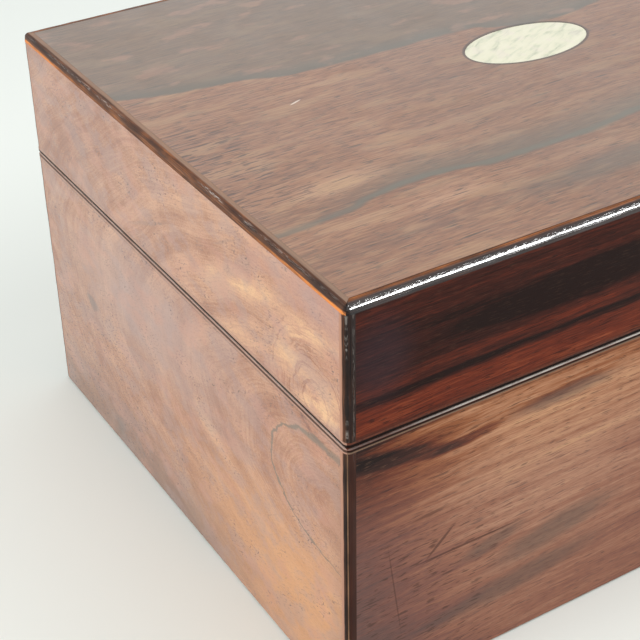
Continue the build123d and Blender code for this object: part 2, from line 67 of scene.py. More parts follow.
# %% [markdown]
# The sizes below are read off the construction, so that a finish or a new piece always lands on
# the board that it belongs to. Blender works in metres and a cabinet maker in millimetres.

# %% Sizes in millimetres
MM = 0.001
LOW_CORNER, HIGH_CORNER = [corner / MM for corner in construction_box]
X_END = HIGH_CORNER.x
Y_FRONT = LOW_CORNER.y
Z_TOP = HIGH_CORNER.z
Y_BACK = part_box("base_rims")[1].y / MM
Z_BASE_RIM, Z_BASE_TOP = [corner.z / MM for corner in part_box("base_rims")]
Z_LID_BOTTOM, Z_LID_RIM = [corner.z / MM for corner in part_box("lid_rims")]
Z_TOP_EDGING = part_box("lid_top_edgings")[0].z / MM
EDGING_WIDTH = Z_TOP - Z_TOP_EDGING
Y_MIDDLE = (Y_FRONT + Y_BACK) / 2
OVAL_LOW, OVAL_HIGH = [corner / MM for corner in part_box("oval_inlay")]
FRONT_LEFT, BACK_RIGHT = Vector((-X_END, Y_FRONT)), Vector((X_END, Y_BACK))
ARRIS_RADIUS = 2.0
print(f"box {2 * X_END:.1f} x {Y_BACK - Y_FRONT:.1f} x {Z_TOP:.1f} mm, edging {EDGING_WIDTH:.1f}")

# %% [markdown]
# ## Camera
# The photograph was taken from close by, above the near left corner, with the box turned so
# that the corner is almost centred. The lens and the place were worked out from the box's own
# straight edges, so the camera stands where the photographer stood.

# %% Camera
CAMERA_PLACE = (-344.9, -419.8, 397.0)
CAMERA_TURN = (56.266, 0.908, -31.827)
CAMERA_LENS = 87.65

camera_data = bpy.data.cameras.new("camera")
camera_data.lens = CAMERA_LENS
camera_data.sensor_width = 36.0
camera_data.clip_start = 0.01
camera = bpy.data.objects.new("camera", camera_data)
camera.location = Vector(CAMERA_PLACE) * MM
camera.rotation_euler = [math.radians(angle) for angle in CAMERA_TURN]
bpy.context.scene.collection.objects.link(camera)
bpy.context.scene.camera = camera

# %% [markdown]
# ## Finishes as sums of fields
# A procedural finish is arithmetic on places. `Field` wraps one output of a shader node, and
# adding or scaling fields adds the Math nodes, so that a recipe reads like a formula.
# `Finish` holds one material and hands out its fields, with all places in millimetres.

# %% Fields
class Field:
    """A number that varies over a surface."""

    def __init__(self, finish, socket):
        self.finish = finish
        self.socket = socket

    def do(self, operation, *others):
        """The result of one Math node on this field and others."""
        return self.finish.math(operation, self, *others)

    def __add__(self, other):
        return self.do("ADD", other)

    def __sub__(self, other):
        return self.do("SUBTRACT", other)

    def __rsub__(self, number):
        return self.finish.math("SUBTRACT", number, self)

    def __mul__(self, other):
        return self.do("MULTIPLY", other)

    def __truediv__(self, other):
        return self.do("DIVIDE", other)

    def size(self):
        """How far the field is from nought."""
        return self.do("ABSOLUTE")

    def capped(self):
        """The field where it is under one, and one elsewhere."""
        return self.do("MINIMUM", 1.0)

    def between(self, low, high):
        """Nought up to low, one from high, and a smooth rise between them."""
        rise = self.finish.add("ShaderNodeMapRange", interpolation_type="SMOOTHSTEP")
        for name, value in (("Value", self), ("From Min", low), ("From Max", high)):
            self.finish.feed(rise.inputs[name], value)
        return Field(self.finish, rise.outputs["Result"])

    def along(self, points):
        """The height of a curve drawn through a few (place, height) points."""
        places, heights = [point[0] for point in points], [point[1] for point in points]
        bottom, span = min(heights), max(heights) - min(heights)
        curve = self.finish.add("ShaderNodeFloatCurve")
        share = (self - places[0]) / (places[-1] - places[0])
        self.finish.feed(curve.inputs["Value"], share.capped().do("MAXIMUM", 0.0))
        knots = curve.mapping.curves[0].points
        for index, (place, height) in enumerate(points):
            x = (place - places[0]) / (places[-1] - places[0])
            y = (height - bottom) / span
            if index in (0, len(points) - 1):
                knots[0 if index == 0 else -1].location = (x, y)
            else:
                knots.new(x, y)
        for knot in knots:
            knot.handle_type = "AUTO_CLAMPED"
        curve.mapping.update()
        return Field(self.finish, curve.outputs["Value"]) * span + bottom


# %% One finish
MIX_UNDER, MIX_OVER, MIX_RESULT = 6, 7, 2


def paint(red, green, blue):
    """A colour as the eye and a paint chart give it, 0 to 255, for a shader."""
    channels = [value / 255 for value in (red, green, blue)]
    linear = [c / 12.92 if c <= 0.04045 else ((c + 0.055) / 1.055) ** 2.4 for c in channels]
    return (*linear, 1.0)


class Finish:
    """One material, built from fields of the place on the object in millimetres."""

    def __init__(self, name):
        self.material = bpy.data.materials.new(name)
        self.material.use_nodes = True
        self.tree = self.material.node_tree
        self.shader = self.tree.nodes["Principled BSDF"]
        place = self.add("ShaderNodeTexCoord").outputs["Object"]
        metres = self.add("ShaderNodeSeparateXYZ")
        self.feed(metres.inputs[0], place)
        self.x, self.y, self.z = [Field(self, axis) / MM for axis in metres.outputs]

    def add(self, kind, **settings):
        """A new node with its settings made."""
        node = self.tree.nodes.new(kind)
        for name, value in settings.items():
            setattr(node, name, value)
        return node

    def feed(self, socket, value):
        """Links a field or an output to a socket, or sets a plain number or colour."""
        if isinstance(value, Field):
            value = value.socket
        if isinstance(value, bpy.types.NodeSocket):
            self.tree.links.new(value, socket)
        else:
            socket.default_value = value

    def math(self, operation, *terms):
        """The result of one Math node on fields and numbers."""
        math_node = self.add("ShaderNodeMath", operation=operation)
        for socket, term in zip(math_node.inputs, terms):
            self.feed(socket, term)
        return Field(self, math_node.outputs[0])

    def set(self, **values):
        """Sets or links sockets of the shader: coat_weight is the one named Coat Weight."""
        for name, value in values.items():
            words = name.replace("_", " ").title().replace("Ior", "IOR")
            self.feed(self.shader.inputs[words], value)

    def spread(self, a, b, c=0.0):
        """Three fields or numbers as one vector."""
        vector = self.add("ShaderNodeCombineXYZ")
        for socket, value in zip(vector.inputs, (a, b, c)):
            self.feed(socket, value)
        return vector.outputs[0]

    def noise(self, a, b, c=0.0, detail=3.0, roughness=0.5, distortion=0.0):
        """Cloudy noise around one half, one cell wide where a, b or c grows by one."""
        texture = self.add("ShaderNodeTexNoise")
        settings = {"Vector": self.spread(a, b, c), "Scale": 1.0, "Detail": detail,
                    "Roughness": roughness, "Distortion": distortion}
        for name, value in settings.items():
            self.feed(texture.inputs[name], value)
        return Field(self, texture.outputs["Fac"])

    def clouds(self, size, **settings):
        """Noise in cells of one size in millimetres, whichever way the surface faces."""
        return self.noise(self.x / size, self.y / size, self.z / size, **settings)

    def cells(self, a, b, c=0.0):
        """How far a place is from the middle of its cell, in cells one wide."""
        texture = self.add("ShaderNodeTexVoronoi")
        for name, value in {"Vector": self.spread(a, b, c), "Scale": 1.0}.items():
            self.feed(texture.inputs[name], value)
        return Field(self, texture.outputs["Distance"])

    def spot(self, across, up, at, size, turn=0.0):
        """A soft oval mark: one at its middle, nought at its edge."""
        mapping = self.add("ShaderNodeMapping", vector_type="TEXTURE")
        self.feed(mapping.inputs["Vector"], self.spread(across, up))
        self.feed(mapping.inputs["Location"], (*at, 0.0))
        self.feed(mapping.inputs["Rotation"], (0.0, 0.0, math.radians(turn)))
        self.feed(mapping.inputs["Scale"], (*size, 1.0))
        cone = self.add("ShaderNodeTexGradient", gradient_type="SPHERICAL")
        self.feed(cone.inputs[0], mapping.outputs[0])
        return Field(self, cone.outputs["Fac"])

    def mark(self, across, up, at, size, turn, edge, strength):
        """A soft oval that rises to its full strength over the share of it called its edge."""
        return self.spot(across, up, at, size, turn).between(0, edge) * strength

    def marks(self, across, up, rows):
        """Marks added together, from rows of place, size, turn, edge and strength."""
        total, *others = [self.mark(across, up, *row) for row in rows]
        for other in others:
            total = total + other
        return total

    def from_edges(self, low, high):
        """For a rectangle: the way in from its ends and its sides, one where an end is nearer,
        and the way along the nearer edge."""
        centre, half = (low + high) / 2, (high - low) / 2
        from_end = half.x - (self.x - centre.x).size()
        from_side = half.y - (self.y - centre.y).size()
        at_end = (from_side - from_end).between(-0.01, 0.01)
        return from_end, from_side, at_end, self.x + at_end * (self.y - self.x)

    def ramp(self, tone, stops):
        """The colour at a tone on a scale of (tone, colour) stops."""
        scale = self.add("ShaderNodeValToRGB")
        self.feed(scale.inputs[0], tone)
        elements = scale.color_ramp.elements
        elements.remove(elements[1])
        elements[0].position, elements[0].color = stops[0]
        for position, colour in stops[1:]:
            elements.new(position).color = colour
        return scale.outputs[0]

    def mix(self, share, first, second, how="MIX"):
        """A second colour laid over a first by a share."""
        blend = self.add("ShaderNodeMix", data_type="RGBA", blend_type=how)
        self.feed(blend.inputs["Factor"], share)
        self.feed(blend.inputs[MIX_UNDER], first)
        self.feed(blend.inputs[MIX_OVER], second)
        return blend.outputs[MIX_RESULT]

    def layered(self, colour, *layers):
        """Lays (share, colour) layers over a colour, one after another."""
        for share, layer in layers:
            colour = self.mix(share, colour, layer)
        return colour

    def relief(self, height):
        """Lets a height in millimetres catch the light, in the wood and in its polish."""
        bump = self.add("ShaderNodeBump")
        self.feed(bump.inputs["Distance"], MM)
        self.feed(bump.inputs["Height"], height)
        self.set(normal=bump.outputs[0], coat_normal=bump.outputs[0])

# %% [markdown]
# ## Rosewood
# Brazilian rosewood runs from orange and plum brown to bands that are nearly black. The sheets
# here are veneer, cut from one log and laid over a plain carcass, then filled and French
# polished. Every face uses one recipe: a tone for how light the wood is at a place, streaks
# along the grain, open pores, and a hard shellac coat that has softened with age.

# %% The rosewood recipe
INK_BROWN = paint(32, 21, 20)
PLUM = paint(66, 38, 32)
RED_BROWN = paint(110, 57, 39)
ORANGE_BROWN = paint(152, 94, 62)
TAN = paint(191, 139, 106)
GOLD = paint(222, 173, 126)
ROSEWOOD_SCALE = [(0.0, INK_BROWN), (0.2, PLUM), (0.4, RED_BROWN), (0.6, ORANGE_BROWN),
                  (0.8, TAN), (1.0, GOLD)]


def rosewood(finish, along, across, tone, streaks=1.0, open_pores=0.6, seed=0.0):
    """The colour and pores of rosewood whose grain runs along one field."""
    broad = finish.noise(across / 2.6, along / 70, seed + 5, detail=4, distortion=0.3)
    fine = finish.noise(across / 0.6, along / 26, seed, detail=4, roughness=0.65)
    short = finish.noise(across / 0.45, along / 6, seed + 9, detail=2)
    swing = (broad - 0.5) * 0.5 + (fine - 0.5) * 0.5 + (short - 0.5) * 0.24
    colour = finish.ramp(tone + swing * streaks, ROSEWOOD_SCALE)
    pores = finish.noise(across / 0.4, along / 5.5, seed + 13, detail=1).between(0.62, 0.7)
    long_pores = finish.noise(across / 0.9, along / 15, seed + 17, detail=2).between(0.62, 0.7)
    pores = pores.do("MAXIMUM", long_pores)
    return finish.mix(pores * open_pores, colour, INK_BROWN), pores


def polish(finish, pores, gloss=1.0, coat_roughness=0.14, coat_ior=1.45, specular=0.2):
    """Shellac over the wood: a bright coat, faint ripples and the pores that it sank into."""
    ripple = finish.clouds(22, detail=2)
    dust = finish.clouds(1.5, detail=2)
    finish.relief(pores * -0.02 + ripple * 0.25 + dust * 0.008)
    smear = finish.clouds(30, detail=4, distortion=1.0)
    finish.set(roughness=smear.between(0.2, 0.9) * 0.25 + 0.32, coat_weight=gloss,
               coat_roughness=coat_roughness, coat_ior=coat_ior, specular_ior_level=specular)

# %% [markdown]
# ### The front
# The front sheet runs unbroken over lid and base, because the box was veneered whole and then
# sawn open. Its bands are read up the height: plum and ink brown under the lid's top, warm red
# lines above the seam, an orange run below it, and paler wood down to the table, greyed there by
# a painted reflection of the pale floor.
# Each band is a height on a curve, and single marks are soft ovals laid over it. A row of a
# table of marks holds the mark's place, size and turn, how far in its edge is soft, and its
# strength.

# %% Front bands and marks
FRONT_BANDS = [
    (0, 0.56), (10, 0.54), (18, 0.62), (24, 0.52), (34, 0.64), (42, 0.62), (50, 0.66),
    (56, 0.71), (66, 0.70), (72, 0.76), (86, 0.72), (92, 0.76), (98, 0.68), (105, 0.62),
    (109, 0.52), (113, 0.36), (117, 0.38), (122, 0.29), (124, 0.10), (126, 0.24),
    (130, 0.25), (133, 0.12), (140, 0.11), (146, 0.13), (151, 0.18), (156, 0.19), (161, 0.12)]
FRONT_LIGHT = [(0, -0.44), (6, -0.40), (16, -0.30), (34, -0.14), (52, -0.02), (75, 0.05),
               (150, 0.0), (305, -0.04)]
DARK_RUNS = [
    ((98, 139), (74, 7.5), 0, 0.45, 0.24), ((60, 124.6), (90, 1.5), 0, 0.8, 0.16),
    ((14, 146), (16, 13), 0, 0.8, 0.05), ((16, 100), (36, 4.4), -12, 0.6, 0.26),
    ((44, 95), (19, 2.6), 2, 0.6, 0.3), ((82, 98.5), (26, 2.4), 3, 0.7, 0.26),
    ((40, 23), (26, 4), 5, 0.8, 0.14), ((150, 60), (70, 7), -3, 0.8, 0.22),
    ((230, 88), (80, 6), 2, 0.7, 0.28), ((210, 24), (60, 9), -2, 0.8, 0.2)]
ORANGE_RUN = ((34, 105.5), (30, 2.4), 0, 0.7, 0.14)
GREY_RUNS = [
    ((57, 47), (18, 4.5), 10, 0.7, 0.6), ((84, 40), (36, 8), 8, 0.7, 0.65),
    ((68, 25), (50, 7), 6, 0.7, 0.6), ((84, 98), (30, 4), 3, 0.7, 0.6)]
BLOOM = ((12, 139), (16, 22), 0, 0.8, 0.35)
SCRATCHES = [
    ((35.6, 57.6), (9, 0.8), 43, 0.5, 0.6), ((47, 51.8), (27, 0.6), -0.5, 0.5, 0.6),
    ((31, 71.5), (10, 0.9), 4, 0.6, 0.45), ((46, 78), (5, 0.7), 4, 0.6, 0.4),
    ((18, 45), (24, 0.4), -82, 0.6, 0.45)]

# %% Joints at the rims
JOINT_LINE = 0.6


def rim_joints(z):
    """The dark glue lines where the rims meet the veneer, above and below the seam."""
    below = (z - Z_BASE_RIM + JOINT_LINE).size().between(JOINT_LINE, 0.0)
    above = (z - Z_LID_RIM - JOINT_LINE).size().between(JOINT_LINE, 0.0)
    return below.do("MAXIMUM", above * 0.6)


# %% Front rosewood
def front_finish(name, turn=1.0, seed=0.0):
    """Rosewood for a long side. A turn of minus one mirrors it, for the back."""
    finish = Finish(name)
    from_left = finish.x * turn + X_END
    z = finish.z
    wander = finish.noise(from_left / 90, z / 30, seed, detail=2) - 0.5
    shiver = finish.noise(from_left / 14, z / 2.5, seed + 2, detail=3) - 0.5
    level = z + wander * 4.5 + shiver * 1.8 - from_left * 0.015
    on_base = z.between(112, 110)
    tone = level.along(FRONT_BANDS) + from_left.along(FRONT_LIGHT) * on_base
    tone = tone - finish.marks(from_left, level, DARK_RUNS)
    tone = tone + finish.mark(from_left, level, *ORANGE_RUN)
    colour, pores = rosewood(finish, from_left, level, tone, seed=seed + 20)
    # painted reflection: milky grey-pink rising from the seam down to the table, for the pale
    # floor mirrored in the polish
    painted_floor_reflection = z.between(108, 60) * 0.36
    colour = finish.mix(painted_floor_reflection, colour, paint(156, 122, 116))
    bent_z = z + wander * 6 + shiver * 4
    for run in GREY_RUNS:
        colour = finish.mix(finish.mark(from_left, bent_z, *run), colour, paint(110, 91, 82))
    on_lid = z.between(108, 116)
    warmed = finish.mix(1.0, colour, paint(255, 176, 150), "MULTIPLY")
    rays = finish.noise(z / 0.5, from_left / 5, seed + 60, detail=3)
    scratches = finish.marks(from_left, z, SCRATCHES).capped()
    checks = finish.noise(level / 0.8, from_left / 6, seed + 70, detail=2).between(0.57, 0.65)
    checks = checks * from_left.between(90, 40) * z.between(84, 58)
    colour = finish.layered(
        colour,
        (on_lid * 0.62, warmed),
        (finish.mark(from_left, z, *BLOOM), paint(72, 54, 62)),
        (rays.between(0.56, 0.7) * 0.22, INK_BROWN),
        (rays.between(0.44, 0.3) * (on_base * 0.1 + 0.04), TAN),
        (scratches, paint(62, 38, 36)),
        (checks * 0.6, paint(74, 52, 46)),
        (rim_joints(z) * 0.4, INK_BROWN))
    finish.set(base_color=colour)
    polish(finish, pores + scratches, gloss=0.15, coat_ior=1.28, specular=0.05)
    return finish.material


# %% Finish helper for construction pieces
def dress(material, *names):
    """Gives construction pieces a material in every slot that they have."""
    for name in names:
        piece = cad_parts[name]
        if not piece.material_slots:
            piece.data.materials.append(material)
        for material_slot in piece.material_slots:
            material_slot.material = material


dress(front_finish("rosewood_front"), "base_front_veneer", "lid_front_veneer")
dress(front_finish("rosewood_back", turn=-1.0, seed=40.0), "base_back_veneer", "lid_back_veneer")
print("front and back veneers finished")

# %% [markdown]
# ### The ends
# Each end is a slice across the log near a knot, so its grain closes in ovals about one point
# on the front corner. The tone follows the distance from that point, squashed in height.
# A grey vein runs round one oval, and years of handling have left pits and dull patches.

# %% End rings and marks
KNOT_Z = 81.0
KNOT_SQUASH = 0.48
VEIN_DISTANCE = 47.5
ROSETTE_BACK, ROSETTE_Z = 17, 117
END_RINGS = [
    (0, 0.74), (22, 0.70), (40, 0.76), (58, 0.71), (72, 0.76), (84, 0.71), (98, 0.78),
    (112, 0.70), (128, 0.76), (150, 0.70), (175, 0.76), (210, 0.70), (250, 0.75)]
END_GLOWS = [
    ((30, 40), (58, 28), -8, 1, 0.06), ((14, 117), (15, 10), -35, 1, 0.24),
    ((26, 137), (26, 7), -18, 1, 0.17), ((34, 123), (15, 10), -30, 1, 0.12),
    ((54, 138), (34, 7), -26, 1, 0.1), ((89, 60), (20, 6), 26, 1, 0.15),
    ((79, 129), (20, 6), -22, 1, 0.12)]
ROSETTE_CURLS = ((20, 121), (34, 32), 0, 0.7, 0.15)
GOLD_PATCH = ((30, 28), (110, 50), 0, 0.9, 0.65)
LILAC_PATCH = ((132, 84), (96, 36), -6, 0.9, 0.6)
MAUVE_PATCH = ((16, 154), (44, 14), 6, 0.9, 0.5)
SLANTS = [((126, 126.5), (26, 1.2), -25, 0.7, 0.35), ((71, 146.5), (14, 0.7), -30, 0.7, 0.3)]
SMUDGE = ((187, 60), (6, 4), 0, 0.6, 0.5)
GREY_FOOT = ((172, 8), (7, 8), 0, 0.8, 0.4)


# %% How light the ends are, and how worn
def end_tone(finish, back, z, ring, wander, shiver, seed):
    """How light an end's wood is: its rings, clouds and curls."""
    flame = finish.noise(ring / 10, (back + z) / 34, seed + 7, detail=4, distortion=0.6) - 0.5
    cloud = finish.noise(back / 13, z / 8, seed + 8, detail=4, roughness=0.6) - 0.5
    lines = finish.noise(ring / 1.1, (back - z) / 30, seed + 9, detail=3) - 0.5
    grit = finish.noise(back / 0.8, z / 0.55, seed + 11, detail=3, roughness=0.65) - 0.5
    tone = ring.along(END_RINGS) + flame * 0.3 + cloud * 0.32 + grit * 0.32 + lines * 0.2
    side, rise = back - ROSETTE_BACK, z - ROSETTE_Z
    rosette = (side * side + rise * rise).do("SQRT") + shiver * 5
    contour = finish.noise(rosette / 1.5, wander * 3, seed + 19, detail=2).between(0.5, 0.6)
    tone = tone - contour * finish.mark(back, z, *ROSETTE_CURLS)
    tone = tone + z.between(109, 113) * (back.between(190, 40) * 0.14 - 0.06)
    return tone + finish.marks(back + shiver * 8, z + shiver * 5, END_GLOWS)


def end_wear(finish, back, z, seed):
    """The pits and the short dark strokes that handling has left on an end."""
    pits = finish.noise(back / 2.0, z / 1.6, seed + 50, detail=1).between(0.68, 0.72)
    flecks = finish.noise((back + z * 0.5) / 1.2, (z - back * 0.3) / 3.5, seed + 55, detail=1)
    worn = finish.noise(back / 18, z / 14, seed + 60, detail=2).between(0.5, 0.62)
    far = back.between(120, 170) * z.between(75, 45)
    pits = pits.do("MAXIMUM", flecks.between(0.69, 0.74))
    pits = pits * (worn * 0.8 + far * 0.8 + 0.12).capped()
    strokes = finish.noise((back - z * 0.4) / 2.4, (z + back * 0.4) / 0.7, seed + 57, detail=2)
    return pits, strokes.between(0.54, 0.66) * (worn * 0.5 + far * 0.6 + 0.3)


# %% End rosewood
def end_finish(name, seed=0.0):
    """Rosewood for an end, its rings round a knot on the front corner."""
    finish = Finish(name)
    back, z = finish.y - Y_FRONT, finish.z
    wander = finish.noise(back / 40, z / 26, seed, detail=1) - 0.5
    shiver = finish.noise(back / 7, z / 5, seed + 3, detail=3) - 0.5
    rise = (z - KNOT_Z) / KNOT_SQUASH
    ring = (back * back + rise * rise).do("SQRT") + wander * 16 + shiver * 0.7
    tone = end_tone(finish, back, z, ring, wander, shiver, seed)
    colour, pores = rosewood(finish, back + z, ring, tone - 0.04, streaks=0.1,
                             open_pores=0.12, seed=seed + 30)
    lilac = finish.mark(back + wander * 30, z + shiver * 10, *LILAC_PATCH)
    mauve = finish.mark(back + wander * 20, z + shiver * 8, *MAUVE_PATCH)
    foot = z.between(shiver * 20 + 36, 0) * back.between(40, 120)
    greyer = finish.noise(back / 16, z / 12, seed + 15, detail=4, roughness=0.6)
    rosy = finish.noise(back / 22, z / 12, seed + 16, detail=4, roughness=0.6)
    vein_width = back.between(40, 10) * z.between(88, 100) * 2.2 + 0.7
    ragged = finish.noise(back / 3.5, z / 2.5, seed + 13, detail=3) - 0.5
    from_vein = (ring - VEIN_DISTANCE + shiver * 5.0 + ragged * 4.0).size()
    vein = (from_vein / vein_width).between(1.6, 0.3) * z.between(109.5, 108.5)
    pits, strokes = end_wear(finish, back, z, seed)
    smudges = (finish.mark(back + shiver * 6, z + shiver * 4, *SMUDGE)
               + finish.mark(back + shiver * 8, z, *GREY_FOOT))
    by_corner = back.between(14, 3) * z.between(112, 100)
    colour = finish.layered(
        colour,
        (finish.mark(back, z, *GOLD_PATCH), paint(210, 146, 84)),
        (lilac, paint(174, 143, 134)),
        (mauve, paint(172, 128, 122)),
        (foot * 0.7, paint(118, 88, 72)),
        (greyer.between(0.46, 0.6) * 0.35, paint(154, 126, 122)),
        (rosy.between(0.5, 0.62) * 0.35, paint(190, 132, 108)),
        (finish.marks(back, z + shiver * 2, SLANTS), paint(128, 100, 90)),
        (vein * 0.75, paint(98, 88, 74)),
        (strokes * 0.6, paint(112, 84, 76)),
        (pits * 0.7, paint(78, 54, 48)),
        (smudges, paint(96, 86, 80)),
        (by_corner * 0.35, paint(142, 98, 70)),
        (rim_joints(z) * 0.3, INK_BROWN))
    finish.set(base_color=colour)
    polish(finish, pores * 0.3 + pits * 3.0)
    return finish.material


dress(end_finish("rosewood_left_end"), "base_left_veneer", "lid_left_veneer")
dress(end_finish("rosewood_right_end", seed=70.0), "base_right_veneer", "lid_right_veneer")
print("end veneers finished")

# %% [markdown]
# ### The top
# The lid's top is one sheet with its grain from left to right. A dark grey line wanders along
# the front third, and behind the oval the sheet turns into darker, greyer wood with a clear
# wavy edge, as where sapwood meets heartwood.

# %% Top bands and marks
BACK_EDGE = [
    (0, 155), (20, 148), (50, 143), (66, 138), (90, 136.5), (140, 136), (152, 131),
    (176, 126), (215, 131), (260, 126), (305, 133)]
FRONT_LINE = [
    (0, 42), (30, 44), (60, 49), (90, 45), (120, 45), (165, 49), (210, 44), (260, 48),
    (305, 45)]
TOP_BANDS = [
    (0, 0.54), (12, 0.60), (24, 0.52), (36, 0.66), (48, 0.56), (60, 0.68), (76, 0.60),
    (92, 0.63), (108, 0.58), (124, 0.64), (140, 0.62), (180, 0.62), (228, 0.56)]
FRONT_SHADE = ((128, 25), (62, 9), 2, 0.7, 0.8)
TOP_GLOWS = [((38, 60), (27, 9), 4, 1, 0.3), ((62, 35), (22, 5), 3, 1, 0.2)]
NICK = ((55, 118), (3.4, 0.5), 20, 0.5, 0.8)
OVAL_JOINT = 1.4


# %% Top rosewood
def top_finish():
    """Rosewood for the lid's top, with its two wandering dark edges."""
    finish = Finish("rosewood_top")
    from_left = finish.x + X_END
    back = finish.y - Y_FRONT
    wander = finish.noise(from_left / 60, back / 22, 0, detail=2) - 0.5
    shiver = finish.noise(from_left / 10, back / 3, 3, detail=3) - 0.5
    past_edge = back - from_left.along(BACK_EDGE) + shiver * 2.6
    dark_back = past_edge.between(-0.8, 1.2)
    dark_rim = dark_back * past_edge.between(10, 1)
    past_line = back - from_left.along(FRONT_LINE) + shiver * 2.4
    line_dark = past_line.between(-1.4, 0.2) * past_line.between(3.6, 1.0)
    line_shade = past_line.between(-0.5, 1) * past_line.between(22, 3) * from_left.between(8, 70)
    front_shade = finish.mark(from_left, back + shiver * 3, *FRONT_SHADE)
    line_shade = line_shade.do("MAXIMUM", front_shade)
    level = back + wander * 5
    tone = level.along(TOP_BANDS) - dark_back * 0.08 - line_dark * 0.22 - line_shade * 0.1
    tone = tone + finish.marks(from_left, back + shiver * 4, TOP_GLOWS)
    colour, pores = rosewood(finish, from_left, level, tone - 0.03, streaks=0.7,
                             open_pores=0.8, seed=30)
    rays = finish.noise(level / 0.7, from_left / 9, 60, detail=2)
    fair = finish.noise(from_left / 30, level / 8, 63, detail=3).between(0.5, 0.66)
    grey = dark_back * 0.58 + line_dark * 0.6 + dark_rim * 0.3 + line_shade * 0.55
    bloom = finish.noise(from_left / 18, back / 9, 44, detail=4).between(0.55, 0.67)
    dashes = finish.noise(back / 0.8, from_left / 8, 51, detail=1).between(0.55, 0.63)
    dashes = dashes * from_left.between(44, 14) * (back - 88).size().between(46, 24)
    oval_half = (OVAL_HIGH - OVAL_LOW) / 2
    oval_joint = finish.spot(finish.x, finish.y, (0, Y_MIDDLE),
                             (oval_half.x + OVAL_JOINT, oval_half.y + OVAL_JOINT))
    colour = finish.layered(
        colour,
        (0.42, paint(118, 100, 82)),
        (pores * 0.4, paint(58, 44, 40)),
        (rays.between(0.52, 0.64) * 0.28, paint(70, 52, 44)),
        (rays.between(0.48, 0.36) * 0.22, paint(184, 146, 106)),
        (fair * 0.35, paint(172, 138, 104)),
        # painted shade: darker towards the right, evening out the light that falls brighter there
        (from_left.between(60, 110) * 0.22, paint(84, 66, 56)),
        (grey.capped(), paint(98, 92, 80)),
        (dark_rim * 0.35, paint(72, 68, 60)),
        (bloom * dark_back * 0.28, paint(172, 128, 108)),
        (dashes * 0.75, paint(56, 42, 40)),
        (oval_joint.between(0.0, 0.03) * 0.75, INK_BROWN),
        (finish.mark(from_left, back, *NICK), paint(222, 205, 190)))
    finish.set(base_color=colour)
    polish(finish, pores + dashes * 0.6, coat_roughness=0.2)
    return finish.material


dress(top_finish(), "lid_top_veneer")
print("top veneer finished")

# %% [markdown]
# ## Modelling by hand, in code
# New pieces start as a block at the board's own place, and are then cut, bevelled and worn in
# edit mode. These helpers do what a hand does with the mouse: choose one piece, choose its
# edges by where they lie, and apply a modifier when it looks right.

# %% Modelling helpers
TOUCHING = 0.01
STRAIGHT = 0.99


def only(piece):
    """Makes one piece the only one selected."""
    bpy.ops.object.select_all(action="DESELECT")
    piece.select_set(True)
    bpy.context.view_layer.objects.active = piece


def named(name):
    """Names the active piece, and moves its place, turn and size into its mesh."""
    piece = bpy.context.active_object
    piece.name = piece.data.name = name
    bpy.ops.object.transform_apply(location=True, rotation=True, scale=True)
    return piece


def block(name, low, high):
    """A block between two corners in millimetres."""
    low, high = Vector(low) * MM, Vector(high) * MM
    bpy.ops.object.select_all(action="DESELECT")
    bpy.ops.mesh.primitive_cube_add(size=1, location=(low + high) / 2, scale=high - low)
    return named(name)


# %% Choosing parts of a piece
def middle(part):
    """The middle of an edge or a face, in millimetres."""
    return sum((corner.co for corner in part.verts), Vector()) / len(part.verts) / MM


def runs_along(edge, axis):
    """True where an edge runs along an axis: 0 is X, 1 is Y and 2 is Z."""
    run = (edge.verts[1].co - edge.verts[0].co).normalized()
    return abs(run[axis]) > STRAIGHT


def choose(piece, kind, test):
    """In edit mode, selects the edges or faces that pass a test."""
    bpy.ops.mesh.select_mode(type=kind)
    bpy.ops.mesh.select_all(action="DESELECT")
    mesh = bmesh.from_edit_mesh(piece.data)
    for part in mesh.edges if kind == "EDGE" else mesh.faces:
        if test(part):
            part.select_set(True)
    bmesh.update_edit_mesh(piece.data)


# %% Changing a piece
def editing(piece):
    """Opens a piece in edit mode."""
    only(piece)
    bpy.ops.object.mode_set(mode="EDIT")


def done():
    """Back to object mode."""
    bpy.ops.object.mode_set(mode="OBJECT")


def divide(piece, axis, cuts):
    """Cuts a piece into rings along an axis, for wear to shape."""
    choose(piece, "EDGE", lambda edge: runs_along(edge, axis))
    bpy.ops.mesh.subdivide(number_cuts=cuts)


def modify(piece, kind, **settings):
    """Adds a modifier, sets it and applies it."""
    only(piece)
    modifier = piece.modifiers.new(kind.lower(), kind)
    for name, value in settings.items():
        setattr(modifier, name, value)
    bpy.ops.object.modifier_apply(modifier=modifier.name)


def wear(piece, depth, cell, where, detail=2):
    """Rubs a surface down by up to a depth, unevenly, in cells of a size."""
    rubbed = [corner.index for corner in piece.data.vertices if where(corner.co / MM)]
    group = piece.vertex_groups.new(name="rubbed")
    group.add(rubbed, 1.0, "ADD")
    clouds = bpy.data.textures.new(piece.name + "_wear", "CLOUDS")
    clouds.noise_scale = cell * MM
    clouds.noise_depth = detail
    modify(piece, "DISPLACE", texture=clouds, strength=depth * MM, mid_level=1.0,
           vertex_group="rubbed", texture_coords="LOCAL")
    piece.vertex_groups.clear()


def joined(name, pieces):
    """Several strips as one piece."""
    bpy.ops.object.select_all(action="DESELECT")
    for piece in pieces:
        piece.select_set(True)
    bpy.context.view_layer.objects.active = pieces[0]
    bpy.ops.object.join()
    pieces[0].name = pieces[0].data.name = name
    return pieces[0]


# %% Finishing a piece
def shaded(piece, degrees=35):
    """The piece with smooth shading, and edges sharper than an angle kept crisp."""
    only(piece)
    bpy.ops.object.shade_smooth_by_angle(angle=math.radians(degrees))
    return piece


def settle(piece, body, material, material_slot, *stands_for):
    """Finishes a new piece: its material, its body, and the construction that it dresses."""
    piece.data.materials.clear()
    piece.data.materials.append(material)
    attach(piece, body)
    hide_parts(*stands_for)
    print(piece.name, len(piece.data.polygons), "faces on", body)
    return piece
